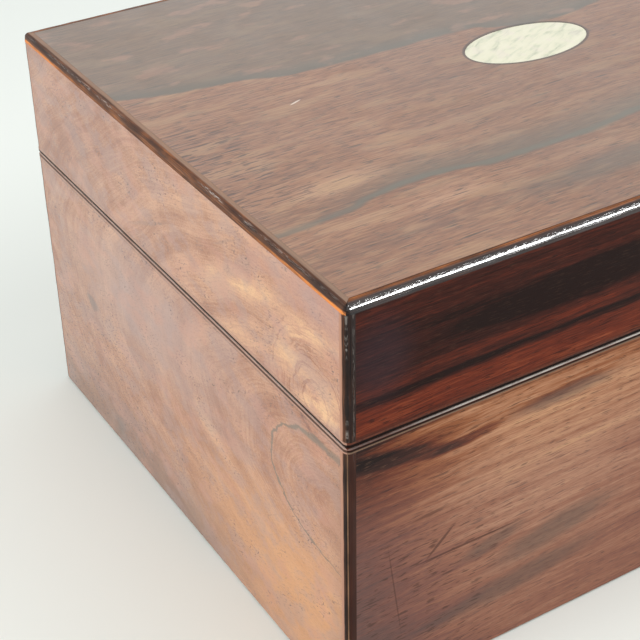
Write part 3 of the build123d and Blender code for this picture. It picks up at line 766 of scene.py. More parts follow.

# %% [markdown]
# ## Edgings and rims
# Strips of straight-grained rosewood guard every arris, because veneer alone would chip there.
# Hands and shelves have rubbed their polish thin: it shows orange on the left and silver grey
# where the shellac has cracked off, with dark wood between. The silver grey is also a painted
# highlight where light catches the arris, and the ends' orange lightens near the front corner in
# painted light.

# %% What all edging strips share
EDGING_SCALE = [(0.0, paint(20, 13, 12)), (0.3, paint(46, 27, 21)), (0.55, paint(88, 54, 36)),
                (0.8, paint(150, 92, 52)), (1.0, paint(222, 136, 70))]
# worn shellac gone silver grey, also a painted highlight on the arris
WORN_GREY_AND_HIGHLIGHT = paint(196, 188, 180)
WORN_BLACK = paint(28, 20, 17)


class Strip:
    """What every edging strip shares: its straight grain, its cracks and its worn arris, greyed
    partly by wear and partly by a painted highlight.
    """

    def __init__(self, finish, along, across, edge_place, seed):
        self.finish = finish
        self.edge_place = edge_place
        self.fine = finish.noise(across / 0.3, along / 24, seed, detail=3)
        self.patch = finish.noise(across / 3, along / 12, seed + 4, detail=4)
        self.arris = edge_place.between(1.7, 0.7)
        cracks = finish.noise(along / 3, across / 0.25, seed + 8, detail=4)
        self.cracks = cracks.between(0.48, 0.6)
        gaps = finish.noise(along / 14, seed + 10, across / 6, detail=3).between(0.42, 0.56)
        # grey along the arris: partly cracked polish, partly a painted highlight
        self.silver_wear_and_highlight = edge_place.between(1.3, 0.5) * self.cracks * gaps
        strands = finish.noise(across / 0.6, along / 90, seed + 14, detail=2)
        self.strands = strands.between(0.42, 0.54)

    def wood(self, lean):
        """The bare strip's colour, lighter by a lean."""
        lit = (self.fine - 0.5) * 0.9 + (self.patch - 0.5) * 0.8 + lean
        return self.finish.ramp(lit, EDGING_SCALE)

    def polished(self, colour, nearest, at_end, shine, coat_ior):
        """The finished material: a dark joint inside, and a polish that breaks at the cracks."""
        joint = (nearest - EDGING_WIDTH).size().between(0.5, 0.1) * (0.8 - at_end * 0.6)
        self.finish.set(base_color=self.finish.mix(joint, colour, INK_BROWN))
        broken = self.cracks * self.arris
        chipped = (1.0 - broken * 0.5) * (self.strands * 0.5 + 0.5)
        polish(self.finish, broken * 1.5 + self.fine * 0.6 + self.strands * 0.8,
               gloss=shine * chipped, coat_roughness=0.11, coat_ior=coat_ior, specular=0.05)
        return self.finish.material


# %% Upright edging rosewood
def upright_finish():
    """The upright strips: dark at the arris, red on the front of the base, stained on the end,
    with a painted tan highlight on the base's arris and grey on the lid's, partly worn polish and
    partly painted highlight.
    """
    finish = Finish("edging_uprights")
    from_end, from_side, at_end, _ = finish.from_edges(FRONT_LEFT, BACK_RIGHT)
    edge_place = from_end.do("MAXIMUM", from_side)
    strip = Strip(finish, finish.z, finish.x + finish.y, edge_place, seed=0)
    # painted highlight: a thin pale line beside the arris, which joins the grey below
    inner_highlight_line = (edge_place - 2.7).size().between(0.6, 0.2) * strip.cracks * (1.0 - at_end)
    silver_wear_and_highlight = strip.silver_wear_and_highlight.do("MAXIMUM", inner_highlight_line * 0.25)
    round_front = from_end - from_side
    on_base = finish.z.between(112, 108)
    red_side = round_front.between(0.3, 1.0) * (strip.patch * 0.6 + 0.5) * on_base
    # painted highlight: a soft tan line down the middle of the rounded arris
    tan_line = (round_front - 0.1).size().between(0.45, 0.1) * (strip.patch * 1.6 - 0.2)
    stained = edge_place.between(1.9, 2.5) * at_end
    colour = finish.layered(
        strip.wood(at_end * finish.z.between(90, 112) * 0.2 + 0.22),
        (strip.arris * 0.8, WORN_BLACK),
        (red_side * 0.85, paint(66, 32, 21)),
        ((tan_line * on_base).do("MAXIMUM", 0.0), paint(150, 112, 84)),
        (silver_wear_and_highlight * finish.z.between(100, 114) * 0.6, WORN_GREY_AND_HIGHLIGHT),
        (stained * 0.85, paint(184, 138, 116)))
    nearest = from_end.do("MINIMUM", from_side)
    shine = edge_place.between(2.0, 1.0) * 0.25 + 0.2
    return strip.polished(colour, nearest, at_end, shine, coat_ior=1.3)


# %% Top edging rosewood
def top_edging_finish():
    """The lid's frame: bright and worn grey in front, the grey partly a painted highlight, and
    orange to dark along the ends, lighter towards the front corner in painted light.
    """
    finish = Finish("edging_top")
    from_end, from_side, at_end, along = finish.from_edges(FRONT_LEFT, BACK_RIGHT)
    from_top = Z_TOP - finish.z
    nearest = from_end.do("MINIMUM", from_side)
    edge_place = nearest.do("MAXIMUM", from_top)
    strip = Strip(finish, along, nearest + finish.z, edge_place, seed=12)
    # painted light: the end strips' sides grow lighter orange towards the front corner
    painted_corner_glow = from_side.between(80, 8) * from_top.between(1.9, 2.5) * at_end
    flat_top = from_top.between(0.4, 0.1) * nearest.between(1.5, 2.2)
    far = at_end * from_side.between(30, 90)
    lean = painted_corner_glow * 0.5 - from_side.between(2.0, 1.0) * 0.3
    lean = lean + flat_top * (0.2 - at_end * 0.12) + far * 0.1
    dark_share = at_end * (from_side.between(60, 16) * 0.5 - 0.55) + 0.75
    dark_share = dark_share * (from_top.between(0.1, 0.8) * 0.7 + 0.3)
    # grey near the corners: partly cracked polish, partly a painted highlight
    wear_and_highlight_share = from_side.between(46, 58) * 0.6 + 0.35
    wear_and_highlight_share = wear_and_highlight_share * from_end.between(26, 16) * from_side.between(90, 78)
    faded = from_top.between(0.5, 0.1) * nearest.between(1.5, 2.0) * at_end
    colour = finish.layered(
        strip.wood(lean + 0.48),
        (strip.arris * dark_share, WORN_BLACK),
        (strip.silver_wear_and_highlight * wear_and_highlight_share, WORN_GREY_AND_HIGHLIGHT),
        (faded * 0.8, paint(150, 124, 106)))
    shine = edge_place.between(2.4, 1.4) * (0.85 - at_end * 0.6) + 0.15
    return strip.polished(colour, nearest, at_end, shine, coat_ior=1.6)


# %% Rim rosewood
def rim_finish():
    """The rim strips at the seam: the faces' colour, a pale edge where the lid closes that is
    partly worn polish and partly a painted highlight, and painted shade in and under the seam.
    """
    finish = Finish("edging_rims")
    from_end, from_side, at_end, along = finish.from_edges(FRONT_LEFT, BACK_RIGHT)
    fine = finish.noise(finish.z / 0.4, along / 20, from_end + from_side + 24, detail=3)
    patch = finish.noise(along / 9, finish.z / 3, 29, detail=3)
    outside = from_end.do("MINIMUM", from_side).between(0.7, 0.5)
    shown = at_end * outside
    lit = (fine - 0.5) * 0.4 + (patch - 0.5) * 0.4 + shown * 0.36 + 0.3
    under = Z_BASE_TOP - finish.z
    over = finish.z - Z_LID_BOTTOM
    tan_line = under.between(1.0, 1.2) * (1.0 - at_end) * outside
    shifted = under + at_end * 0.15
    # painted shade: a near-black band under the base's lip
    shade_under_lip = shifted.between(0.4, 0.55) * under.between(1.35, 1.1) * outside
    # the pale lip: partly worn polish, partly a painted highlight
    lip_wear_and_highlight = shifted.between(0.42, 0.22) * finish.z.between(Z_LID_BOTTOM, Z_BASE_TOP) * outside
    # how strong the painted lip highlight is: rising away from the left corner, less on the ends
    bright = (finish.x + X_END).between(10, 50) * 0.8 + 0.2
    bright = bright + at_end * (0.55 - bright)
    # breaks the lip's wear and highlight in clouds
    rubbed = finish.noise(along / 12, 33, 0, detail=4).between(0.36, 0.56) * 0.5 + 0.5
    # painted shade: the lid rim's lowest millimetre goes near black, as in the shade of the closed
    # seam
    shade_in_seam = over.between(-0.1, 0.0) * over.between(1.25, 0.95)
    painted_seam_shade = shade_in_seam.do("MAXIMUM", shade_under_lip * 0.85)
    finish.set(base_color=finish.layered(
        finish.ramp(lit, ROSEWOOD_SCALE),
        (shown * 0.5, paint(168, 134, 122)),
        (tan_line * 0.5, paint(150, 126, 104)),
        (lip_wear_and_highlight * rubbed * bright, paint(200, 192, 184)),
        (painted_seam_shade * 0.95, paint(9, 6, 6))))
    gloss = (shown * 0.7 + 0.2) * (1.0 - painted_seam_shade)
    polish(finish, fine * 0.5, gloss=gloss, specular=0.05)
    return finish.material


dress(rim_finish(), "base_rims", "lid_rims")
print("rims finished")

# %% [markdown]
# ### Upright edgings
# The four upright strips of each half are let into the corners and rounded over. They could be
# left as plain rounded posts, but the worn arris is what the eye follows on an old box, so each
# strip is cut into rings and its rounded edge is rubbed down unevenly by up to a quarter of a
# millimetre.

# %% Upright edgings
ROUND_SEGMENTS = 6
RING_PITCH = 1.6
ARRIS_WEAR = 0.25
ARRIS_CELL = 5.0
WORN_SHARE = 0.9


def upright(name, side, front, z_low, z_high):
    """One upright corner strip, rounded and worn on its outer edge."""
    x_out, x_in = side * X_END, side * (X_END - EDGING_WIDTH)
    y_out = Y_FRONT if front else Y_BACK
    y_in = Y_FRONT + EDGING_WIDTH if front else Y_BACK - EDGING_WIDTH
    strip = block(name, (min(x_out, x_in), min(y_out, y_in), z_low),
                  (max(x_out, x_in), max(y_out, y_in), z_high))
    corner = Vector((x_out, y_out, (z_low + z_high) / 2))
    editing(strip)
    choose(strip, "EDGE", lambda edge: (middle(edge) - corner).length < TOUCHING)
    bpy.ops.mesh.bevel(offset=ARRIS_RADIUS * MM, segments=ROUND_SEGMENTS, affect="EDGES")
    divide(strip, 2, round((z_high - z_low) / RING_PITCH))
    done()

    def on_arris(place):
        reach = abs(place.x - x_out), abs(place.y - y_out)
        return max(reach) < ARRIS_RADIUS and min(reach) < WORN_SHARE * ARRIS_RADIUS

    wear(strip, ARRIS_WEAR, ARRIS_CELL, on_arris)
    return strip


def corner_edgings(body, z_low, z_high, material):
    """The four upright strips of the base or the lid."""
    strips = [upright("strip", side, front, z_low, z_high)
              for side in (-1, 1) for front in (True, False)]
    piece = shaded(joined(body + "_worn_corners", strips))
    settle(piece, body, material, "rosewood_edging", body + "_corner_edgings")


uprights_material = upright_finish()
base_corner_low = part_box("base_corner_edgings")[0].z / MM
corner_edgings("base", base_corner_low, Z_BASE_RIM, uprights_material)
corner_edgings("lid", Z_LID_RIM, Z_TOP_EDGING, uprights_material)

# %% [markdown]
# ### Top edgings
# The lid's edging is a frame of four mitred strips. It is modelled as a turned-over tray: a slab
# with its upright corners and top arris rounded, its middle cut out, then sawn at the mitres.
# Every strip's rounded arris is then rubbed down alike, unevenly along its length.

# %% Top edgings
SHORT_EDGE = 10.0
SAW_PLAY = 1.0


def top_ring():
    """The whole edging frame in one piece, rounded outside."""
    slab = block("edging_ring", (-X_END, Y_FRONT, Z_TOP_EDGING), (X_END, Y_BACK, Z_TOP))
    editing(slab)
    choose(slab, "EDGE", lambda edge: runs_along(edge, 2))
    bpy.ops.mesh.bevel(offset=ARRIS_RADIUS * MM, segments=ROUND_SEGMENTS, affect="EDGES")
    choose(slab, "EDGE", lambda edge: all(corner.co.z > (Z_TOP - TOUCHING) * MM
                                          for corner in edge.verts))
    bpy.ops.mesh.bevel(offset=(ARRIS_RADIUS - 0.1) * MM, segments=ROUND_SEGMENTS,
                       affect="EDGES")
    done()
    inner = block("edging_room",
                  (-X_END + EDGING_WIDTH, Y_FRONT + EDGING_WIDTH, Z_TOP_EDGING - SAW_PLAY),
                  (X_END - EDGING_WIDTH, Y_BACK - EDGING_WIDTH, Z_TOP + SAW_PLAY))
    modify(slab, "BOOLEAN", operation="DIFFERENCE", object=inner, solver="EXACT")
    bpy.data.objects.remove(inner)
    editing(slab)
    choose(slab, "FACE", lambda face: len(face.verts) > 4)
    bpy.ops.mesh.quads_convert_to_tris()
    done()
    return slab


def mitred(ring, axis, sign):
    """One strip sawn from a copy of the frame by its two mitre planes."""
    strip = ring.copy()
    strip.data = ring.data.copy()
    bpy.context.scene.collection.objects.link(strip)
    editing(strip)
    outward = Vector((0, sign, 0)) if axis == 0 else Vector((sign, 0, 0))
    for end in (-1, 1):
        along = Vector((end, 0, 0)) if axis == 0 else Vector((0, end, 0))
        reach = outward + along
        corner = Vector((reach.x * X_END, Y_BACK if reach.y > 0 else Y_FRONT, Z_TOP)) * MM
        bpy.ops.mesh.select_all(action="SELECT")
        bpy.ops.mesh.bisect(plane_co=corner, plane_no=along - outward, use_fill=True,
                            clear_outer=True)
    choose(strip, "EDGE", lambda edge: runs_along(edge, axis)
           and edge.calc_length() > SHORT_EDGE * MM)
    bpy.ops.mesh.subdivide(number_cuts=round(2 * X_END / RING_PITCH))
    done()
    return strip


def on_top_arris(place):
    """True on the rounded part of the lid's top edge."""
    from_side = min(X_END - abs(place.x), place.y - Y_FRONT, Y_BACK - place.y)
    from_top = Z_TOP - place.z
    return max(from_side, from_top) < ARRIS_RADIUS and min(from_side, from_top) < ARRIS_RADIUS


ring = top_ring()
top_strips = [mitred(ring, axis, sign) for axis in (0, 1) for sign in (-1, 1)]
bpy.data.objects.remove(ring)
for strip in top_strips:
    wear(strip, ARRIS_WEAR, ARRIS_CELL, on_top_arris, detail=3)
lid_edgings = shaded(joined("lid_worn_edgings", top_strips))
settle(lid_edgings, "lid", top_edging_finish(), "rosewood_edging", "lid_top_edgings")

# %% [markdown]
# ## Mother-of-pearl
# The oval on the lid is a slip of shell about as thick as a coin, let in flush and polished
# with the wood, so its face is almost flat and its rim softly eased. A flat disc would look
# printed, so it is domed by a tenth of a millimetre and the nacre's clouds are drawn in colour,
# with a soft sheen from the coat.

# %% Mother-of-pearl
def nacre_finish():
    """Creamy shell with slanting grey-green clouds and fine growth lines."""
    finish = Finish("mother_of_pearl")
    slanted = finish.y - finish.x * 0.5 + finish.z
    along = finish.x + finish.y * 0.5
    warp = finish.noise(along / 14, slanted / 9, 3.0, detail=3) - 0.5
    clouds = finish.noise(along / 11, slanted / 3.2 + warp * 2.0, 7.0, detail=4)
    lines = finish.noise(along / 20, slanted / 0.5 + warp * 3.0, 11.0, detail=2)
    colour = finish.ramp(clouds + (lines - 0.5) * 0.14, [
        (0.28, paint(168, 172, 146)), (0.4, paint(200, 202, 176)), (0.5, paint(216, 214, 188)),
        (0.75, paint(224, 221, 198))])
    tints = finish.noise(along / 7, slanted / 7, 21.0, detail=2).between(0.5, 0.66)
    colour = finish.mix(tints * 0.25, colour, paint(220, 204, 200))
    finish.set(base_color=colour, roughness=0.3, coat_weight=0.6, coat_roughness=0.12,
               coat_ior=1.5, specular_ior_level=0.4)
    finish.relief(lines * 0.02 + clouds * 0.15)
    return finish.material


OVAL_SIDES = 72
OVAL_RINGS = 10
OVAL_CROWN = 0.12


def oval():
    """The shell oval: a disc drawn to an ellipse, ringed by insets and slightly domed."""
    low, high = OVAL_LOW, OVAL_HIGH
    centre, half = (low + high) / 2, (high - low) / 2
    bpy.ops.object.select_all(action="DESELECT")
    bpy.ops.mesh.primitive_cylinder_add(vertices=OVAL_SIDES, radius=1, depth=1,
                                        location=centre * MM,
                                        scale=(half.x * MM, half.y * MM, 2 * half.z * MM))
    piece = named("shell_oval")
    editing(piece)
    choose(piece, "FACE", lambda face: middle(face).z > high.z - TOUCHING)
    for ring_index in range(OVAL_RINGS):
        bpy.ops.mesh.inset(thickness=0.0)
        share = (OVAL_RINGS - ring_index) / (OVAL_RINGS + 1 - ring_index)
        bpy.ops.transform.resize(value=(share, share, 1), center_override=centre * MM)
    done()
    for corner in piece.data.vertices:
        if corner.co.z > centre.z * MM:
            reach = math.hypot((corner.co.x / MM - centre.x) / half.x,
                               (corner.co.y / MM - centre.y) / half.y)
            corner.co.z -= OVAL_CROWN * reach ** 4 * MM
    return shaded(piece, 50)


nacre = nacre_finish()
settle(oval(), "lid", nacre, "mother_of_pearl", "oval_inlay")
dress(nacre, "keyhole_plate")

# %% [markdown]
# ## Inside the box
# The carcass is stained mahogany, the bed and gallery are solid rosewood, and the fittings are
# brass. These show when the lid is up. Boards take the grain along their longest side, so each
# wood is made twice, for boards that lie across the box and from front to back.

# %% Plain timber
def timber(name, lengthwise, scale, roughness, gloss, seed=0.0):
    """Solid wood with its grain along X, or along Y where it runs from front to back."""
    finish = Finish(name)
    if lengthwise == "x":
        along, side = finish.x, finish.y
    else:
        along, side = finish.y, finish.x
    wander = finish.noise(along / 80, side / 30, finish.z / 30, detail=2) - 0.5
    across = side + finish.z * 0.7 + wander * 10
    rings = finish.noise(across / 5, along / 160, seed, detail=3, distortion=0.3)
    fibres = finish.noise(across / 0.5, along / 22, seed + 3, detail=3)
    colour = finish.ramp(rings * 0.7 + fibres * 0.45 - 0.08, scale)
    pores = finish.noise(across / 0.35, along / 5, seed + 7, detail=1).between(0.6, 0.7)
    colour = finish.mix(pores * 0.4, colour, scale[0][1])
    stain = finish.clouds(26, detail=4).between(0.55, 0.75)
    colour = finish.mix(stain * 0.3, colour, scale[0][1])
    finish.set(base_color=colour, roughness=fibres * 0.2 + roughness, coat_weight=gloss,
               coat_roughness=0.25, coat_ior=1.45, specular_ior_level=0.3)
    finish.relief(fibres * 0.03 - pores * 0.05)
    return finish.material


BED_SCALE = [(0.0, paint(44, 26, 20)), (0.35, paint(92, 56, 40)), (0.65, paint(136, 88, 62)),
             (1.0, paint(168, 116, 84))]
CARCASS_SCALE = [(0.0, paint(92, 56, 38)), (0.4, paint(136, 92, 64)), (0.7, paint(164, 116, 84)),
                 (1.0, paint(188, 142, 108))]
bed_wood = {way: timber("bed_wood_" + way, way, BED_SCALE, 0.35, 0.5) for way in "xy"}
carcass_wood = {way: timber("carcass_wood_" + way, way, CARCASS_SCALE, 0.6, 0.1, 30.0)
                for way in "xy"}

# %% [markdown]
# ## Brass and steel
# The hinges, lock and link plate are cast brass that has been polished, handled and left to
# brown in its corners. Pins and the bolt are steel.

# %% Metals
def metal(name, bright, dull, roughness, seed=0.0):
    """Old metal: bright where it is rubbed, dull and rougher in clouds."""
    finish = Finish(name)
    clouds = finish.clouds(7, detail=5, roughness=0.65)
    tarnish = clouds.between(0.42, 0.68)
    scratches = finish.noise(finish.x / 3 + seed, finish.y / 0.2, finish.z / 0.2, detail=2)
    spots = finish.clouds(0.9, detail=1)
    colour = finish.mix(tarnish * 0.6, bright, dull)
    colour = finish.mix(spots.between(0.66, 0.74) * 0.5, colour, paint(66, 48, 30))
    finish.set(base_color=colour, metallic=1.0,
               roughness=tarnish * 0.25 + scratches * 0.12 + roughness)
    finish.relief(scratches * 0.015 + clouds * 0.03)
    return finish.material


brass = metal("old_brass", paint(214, 176, 104), paint(150, 112, 62), 0.16)
steel = metal("old_steel", paint(176, 172, 166), paint(104, 94, 86), 0.22, seed=5.0)

# %% [markdown]
# ## Glass, paper and cloth
# The ink bottles are thick pressed glass with a green cast. The well is lined with paper, the
# lid with velvet, and the underside with green baize so that the box doesn't scratch a table.

# %% Glass
GALLERY_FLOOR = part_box("gallery_floor")[1].z / MM
INK_LEVEL = 16.0


def glass():
    """Thick bottle glass with a faint green cast, ripples and a stain of dried ink."""
    finish = Finish("ink_glass")
    ripples = finish.noise(finish.x / 5, finish.y / 5, finish.z / 8, detail=2)
    stain = finish.noise(finish.x / 9, finish.y / 9, finish.z / 5, detail=3).between(0.5, 0.7)
    low = finish.z.between(GALLERY_FLOOR + INK_LEVEL, GALLERY_FLOOR + 2)
    colour = finish.mix(stain * low * 0.6, paint(214, 228, 218), paint(96, 110, 128))
    finish.set(base_color=colour, roughness=ripples * 0.06 + 0.02, transmission_weight=1.0,
               ior=1.5)
    finish.relief(ripples * 0.2)
    return finish.material


ink_glass = glass()


# %% Paper
def lining_paper():
    """Old marbled paper: cream, combed with brown and blue veins, and foxed."""
    finish = Finish("well_paper")
    swirl = finish.noise(finish.x / 22, finish.y / 22, 4.0, detail=2, distortion=1.5) - 0.5
    warped_x, warped_y = finish.x + swirl * 60, finish.y - swirl * 40
    veins = finish.noise(warped_x / 14, warped_y / 9, 9.0, detail=2, distortion=0.8)
    blue = (veins - 0.47).size().between(0.03, 0.01)
    brown = (veins - 0.56).size().between(0.025, 0.008)
    fibres = finish.noise(finish.x / 0.8, finish.y / 0.8, finish.z, detail=4)
    foxing = finish.noise(finish.x / 6, finish.y / 6, 14.0, detail=4).between(0.6, 0.72)
    colour = finish.ramp(fibres * 0.4 + veins * 0.6, [
        (0.3, paint(186, 170, 146)), (0.5, paint(206, 192, 168)), (0.7, paint(220, 208, 186))])
    colour = finish.layered(
        colour, (blue * 0.65, paint(84, 98, 118)), (brown * 0.65, paint(128, 82, 58)),
        (foxing * 0.4, paint(140, 108, 70)))
    finish.set(base_color=colour, roughness=0.8, specular_ior_level=0.2)
    finish.relief(fibres * 0.05)
    return finish.material


# %% Cloth
def cloth(name, shadow, light, thread, pile):
    """Woven or napped cloth: threads crossing at a pitch, with a soft sheen."""
    finish = Finish(name)
    warp = (finish.x / thread * math.tau).do("SINE")
    weft = (finish.y / thread * math.tau).do("SINE")
    weave = warp * weft * 0.5 + 0.5
    nap = finish.clouds(0.9, detail=4, roughness=0.7)
    brushed = finish.noise(finish.x / 24, finish.y / 15, 3.0, detail=3, distortion=0.6)
    shade_of = weave * (1 - pile) * 0.4 + nap * 0.5 + brushed * 0.6 - 0.25
    colour = finish.ramp(shade_of, [(0.1, shadow), (0.9, light)])
    worn = finish.noise(finish.x / 40, finish.y / 30, 8.0, detail=4).between(0.55, 0.75)
    colour = finish.mix(worn * 0.5, colour, light)
    finish.set(base_color=colour, roughness=0.9, specular_ior_level=0.15, sheen_weight=0.5,
               sheen_roughness=0.4)
    finish.relief(weave * (1 - pile) * 0.12 + nap * 0.15)
    return finish.material


# %% Finishes on the construction pieces
def long_way(name):
    """The axis that a board's grain follows: its longer side in plan."""
    low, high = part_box(name)
    return "x" if high.x - low.x > high.y - low.y else "y"


CARCASS = ["base_front_wall", "base_back_wall", "base_left_wall", "base_right_wall",
           "base_bottom_board", "lid_front_wall", "lid_back_wall", "lid_left_wall",
           "lid_right_wall", "lid_top_board"]
BED = ["left_cheek", "right_cheek", "front_bearer", "gallery_floor", "gallery_front_rail",
       "gallery_back_rail", "pen_tray", "flap_board"]
BRASS = ["base_hinge_leaves", "lid_hinge_leaves", "flap_hinge_leaves", "rail_hinge_leaves",
         "base_hinge_screws", "lid_hinge_screws", "flap_hinge_screws", "rail_hinge_screws",
         "link_plate", "link_plate_screws", "lock_case", "lock_cover", "lock_screws"]
STEEL = ["lid_hinge_pins", "flap_hinge_pins", "lock_bolt"]
for boards, wood in ((CARCASS, carcass_wood), (BED, bed_wood)):
    for name in boards:
        dress(wood[long_way(name)], name)
dress(bed_wood["y"], "gallery_dividers")
dress(brass, *BRASS)
dress(steel, *STEEL)
dress(ink_glass, "left_ink_bottle", "right_ink_bottle")
dress(lining_paper(), "well_paper")
print("inside finished")

# %% [markdown]
# ## The writing leather
# A skiver of dark green leather is glued into a shallow bed on the flap, and a heated wheel has
# rolled a gilt border round it. It could be one flat face with a drawn border, but the tool
# really sinks the leather, so each rule is a ring of faces pressed down, and the finish gilds
# the same rings. The flap slopes, so the panel is made level and then raised along the slope.

# %% Leather
LEATHER_LOW, LEATHER_HIGH = [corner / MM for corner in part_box("leather_panel")]
FLAP_LEAN = math.radians(9.0)
SLOPE = math.tan(FLAP_LEAN)
EASED_EDGE = 0.3
RULES = [(5.0, 5.6), (9.6, 9.9)]
RULE_BEVEL = 0.1
RULE_DEPTH = 0.14
COCKLE = 0.05
BEAD_PITCH = 3.2
BEAD_LINE = 7.6


def way_in(place, low, high):
    """How far inside the nearest side of a rectangle a place lies."""
    return min(place.x - low.x, high.x - place.x, place.y - low.y, high.y - place.y)


def leather_finish():
    """Green skiver with pebbled grain, wear in the middle, and gilt rules and beads."""
    finish = Finish("writing_leather")
    centre = (LEATHER_LOW + LEATHER_HIGH) / 2
    from_end, from_side, _, along = finish.from_edges(LEATHER_LOW, LEATHER_HIGH)
    inward = from_end.do("MINIMUM", from_side)
    pebbles = finish.cells(finish.x / 0.8, finish.y / 0.8, 2.0)
    creases = finish.noise(finish.x / 12, finish.y / 9, 5.0, detail=5, roughness=0.6)
    blotch = finish.noise(finish.x / 34, finish.y / 26, 8.0, detail=4, distortion=0.5)
    colour = finish.ramp(blotch * 0.7 + pebbles * 0.3, [
        (0.2, paint(26, 44, 34)), (0.5, paint(44, 68, 50)), (0.8, paint(70, 94, 66))])
    rubbed = finish.mark(finish.x, finish.y, (centre.x + 8, centre.y - 14), (96, 52), 7, 0.9,
                         0.45)
    ink = finish.spot(finish.x, finish.y, (centre.x + 62, centre.y + 18), (9, 6), turn=30)
    ink = (ink + (creases - 0.5) * 1.4).between(0.5, 0.6)
    outer_rule, inner_rule = [
        inward.between(low - RULE_BEVEL, low) * inward.between(high + RULE_BEVEL, high)
        for low, high in RULES]
    bead_step = (along / BEAD_PITCH * math.tau).do("COSINE").between(-0.35, 0.15)
    bead = (inward - BEAD_LINE).size().between(0.75, 0.55) * bead_step
    lost = finish.noise(finish.x / 5, finish.y / 5, 30.0, detail=4).between(0.62, 0.52)
    gilt = (outer_rule + inner_rule + bead).capped() * lost
    colour = finish.layered(
        colour, (rubbed * creases.between(0.4, 0.65), paint(112, 110, 74)),
        (ink * 0.6, paint(20, 22, 34)), (gilt, paint(206, 166, 88)))
    finish.set(base_color=colour, metallic=gilt * 0.9, roughness=pebbles * 0.15 + 0.42,
               specular_ior_level=0.4)
    finish.relief(pebbles * 0.08 + creases * 0.1 - gilt * 0.05)
    return finish.material


def leather_panel():
    """The leather: a thin slab, ringed for its rules, eased at the edge and set on the slope."""
    rise = SLOPE * (LEATHER_HIGH.y - LEATHER_LOW.y)
    thickness = LEATHER_HIGH.z - LEATHER_LOW.z - rise
    z_face = LEATHER_LOW.z + thickness
    piece = block("tooled_leather", LEATHER_LOW, (LEATHER_HIGH.x, LEATHER_HIGH.y, z_face))
    editing(piece)
    choose(piece, "EDGE", lambda edge: middle(edge).z > z_face - TOUCHING)
    bpy.ops.mesh.bevel(offset=EASED_EDGE * MM, segments=2, affect="EDGES")
    choose(piece, "FACE", lambda face: middle(face).z > z_face - TOUCHING)
    reached = EASED_EDGE
    for low, high in RULES:
        for place, drop in ((low, 0.0), (low + RULE_BEVEL, -RULE_DEPTH),
                            (high - RULE_BEVEL, 0.0), (high, RULE_DEPTH)):
            bpy.ops.mesh.inset(thickness=(place - reached) * MM, depth=drop * MM)
            reached = place
    bpy.ops.mesh.subdivide(number_cuts=24)
    done()
    for corner in piece.data.vertices:
        place = corner.co / MM
        if way_in(place, LEATHER_LOW, LEATHER_HIGH) > RULES[-1][1] + RULE_BEVEL:
            corner.co.z -= COCKLE * (1 + math.sin(place.x / 13) * math.sin(place.y / 11)) * MM
        corner.co.z += SLOPE * (corner.co.y - LEATHER_LOW.y * MM)
    return shaded(piece, 50)


leather = settle(leather_panel(), "writing_flap", leather_finish(), "writing_leather",
                 "leather_panel")

# %% [markdown]
# ## The lid's velvet
# The lid is lined with a panel of card covered in plum velvet over a little wadding. It swells
# between a stitched border and the edge, so the panel starts as a thin slab, gets a fine grid on
# its face, and each point is then lowered as far as the wadding would push it.

# %% Lid lining
LINING_LOW, LINING_HIGH = [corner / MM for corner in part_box("lid_lining")]
STITCH_INSET = 11.0
STITCH_PULL = 1.6
EDGE_PULL = 1.2
CARD_SHARE = 0.3
LINING_CELL = 3.0


def lining_swell(inward, ripple):
    """How far the velvet swells from its card, as a share of the room that it has."""
    seam = math.exp(-((inward - STITCH_INSET) / STITCH_PULL) ** 2)
    edge = math.exp(-(inward / EDGE_PULL) ** 2)
    return max(0.0, 0.86 + 0.14 * ripple - 0.8 * seam - 0.6 * edge)


def lid_lining():
    """The velvet panel, swelling on both sides of its stitched line."""
    thickness = LINING_HIGH.z - LINING_LOW.z
    z_card = LINING_HIGH.z - CARD_SHARE * thickness
    piece = block("velvet_lining", (LINING_LOW.x, LINING_LOW.y, z_card), LINING_HIGH)
    editing(piece)
    for axis in (0, 1):
        divide(piece, axis, round((LINING_HIGH[axis] - LINING_LOW[axis]) / LINING_CELL))
    choose(piece, "FACE", lambda face: middle(face).z < z_card + TOUCHING)
    bpy.ops.mesh.subdivide(number_cuts=1)
    done()
    room = z_card - LINING_LOW.z
    for corner in piece.data.vertices:
        place = corner.co / MM
        if place.z < z_card + TOUCHING:
            inward = way_in(place, LINING_LOW, LINING_HIGH)
            ripple = math.sin(place.x / 9) * math.sin(place.y / 7)
            corner.co.z -= room * lining_swell(inward, ripple) * MM
    return shaded(piece, 60)


velvet = cloth("lining_velvet", paint(70, 16, 30), paint(128, 40, 56), 0.5, 0.9)
lining = settle(lid_lining(), "lid", velvet, "lining_cloth", "lid_lining")

# %% [markdown]
# ## The baize underneath
# Green baize is glued under the base. Its edge was cut with shears, so it wanders a little, and
# it stands back from the box's own edge. Each point of a thin slab's rim is drawn in by hand's
# unevenness, made from two slow waves.

# %% Baize
BAIZE_LOW, BAIZE_HIGH = [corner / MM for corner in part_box("underside_baize")]
SHEAR_WANDER = 0.35
BAIZE_CELL = 6.0


def underside_baize():
    """The baize sheet with its hand-cut edge."""
    piece = block("cut_baize", BAIZE_LOW, BAIZE_HIGH)
    editing(piece)
    for axis in (0, 1):
        divide(piece, axis, round((BAIZE_HIGH[axis] - BAIZE_LOW[axis]) / BAIZE_CELL))
    done()
    for corner in piece.data.vertices:
        place = corner.co / MM
        for axis, other in ((0, 1), (1, 0)):
            to_edge = min(place[axis] - BAIZE_LOW[axis], BAIZE_HIGH[axis] - place[axis])
            if to_edge < TOUCHING:
                wave = 2 + math.sin(place[other] / 6) + math.sin(place[other] / 17)
                inward = -1 if place[axis] > 0 else 1
                corner.co[axis] += inward * wave * SHEAR_WANDER / 4 * MM
    return piece


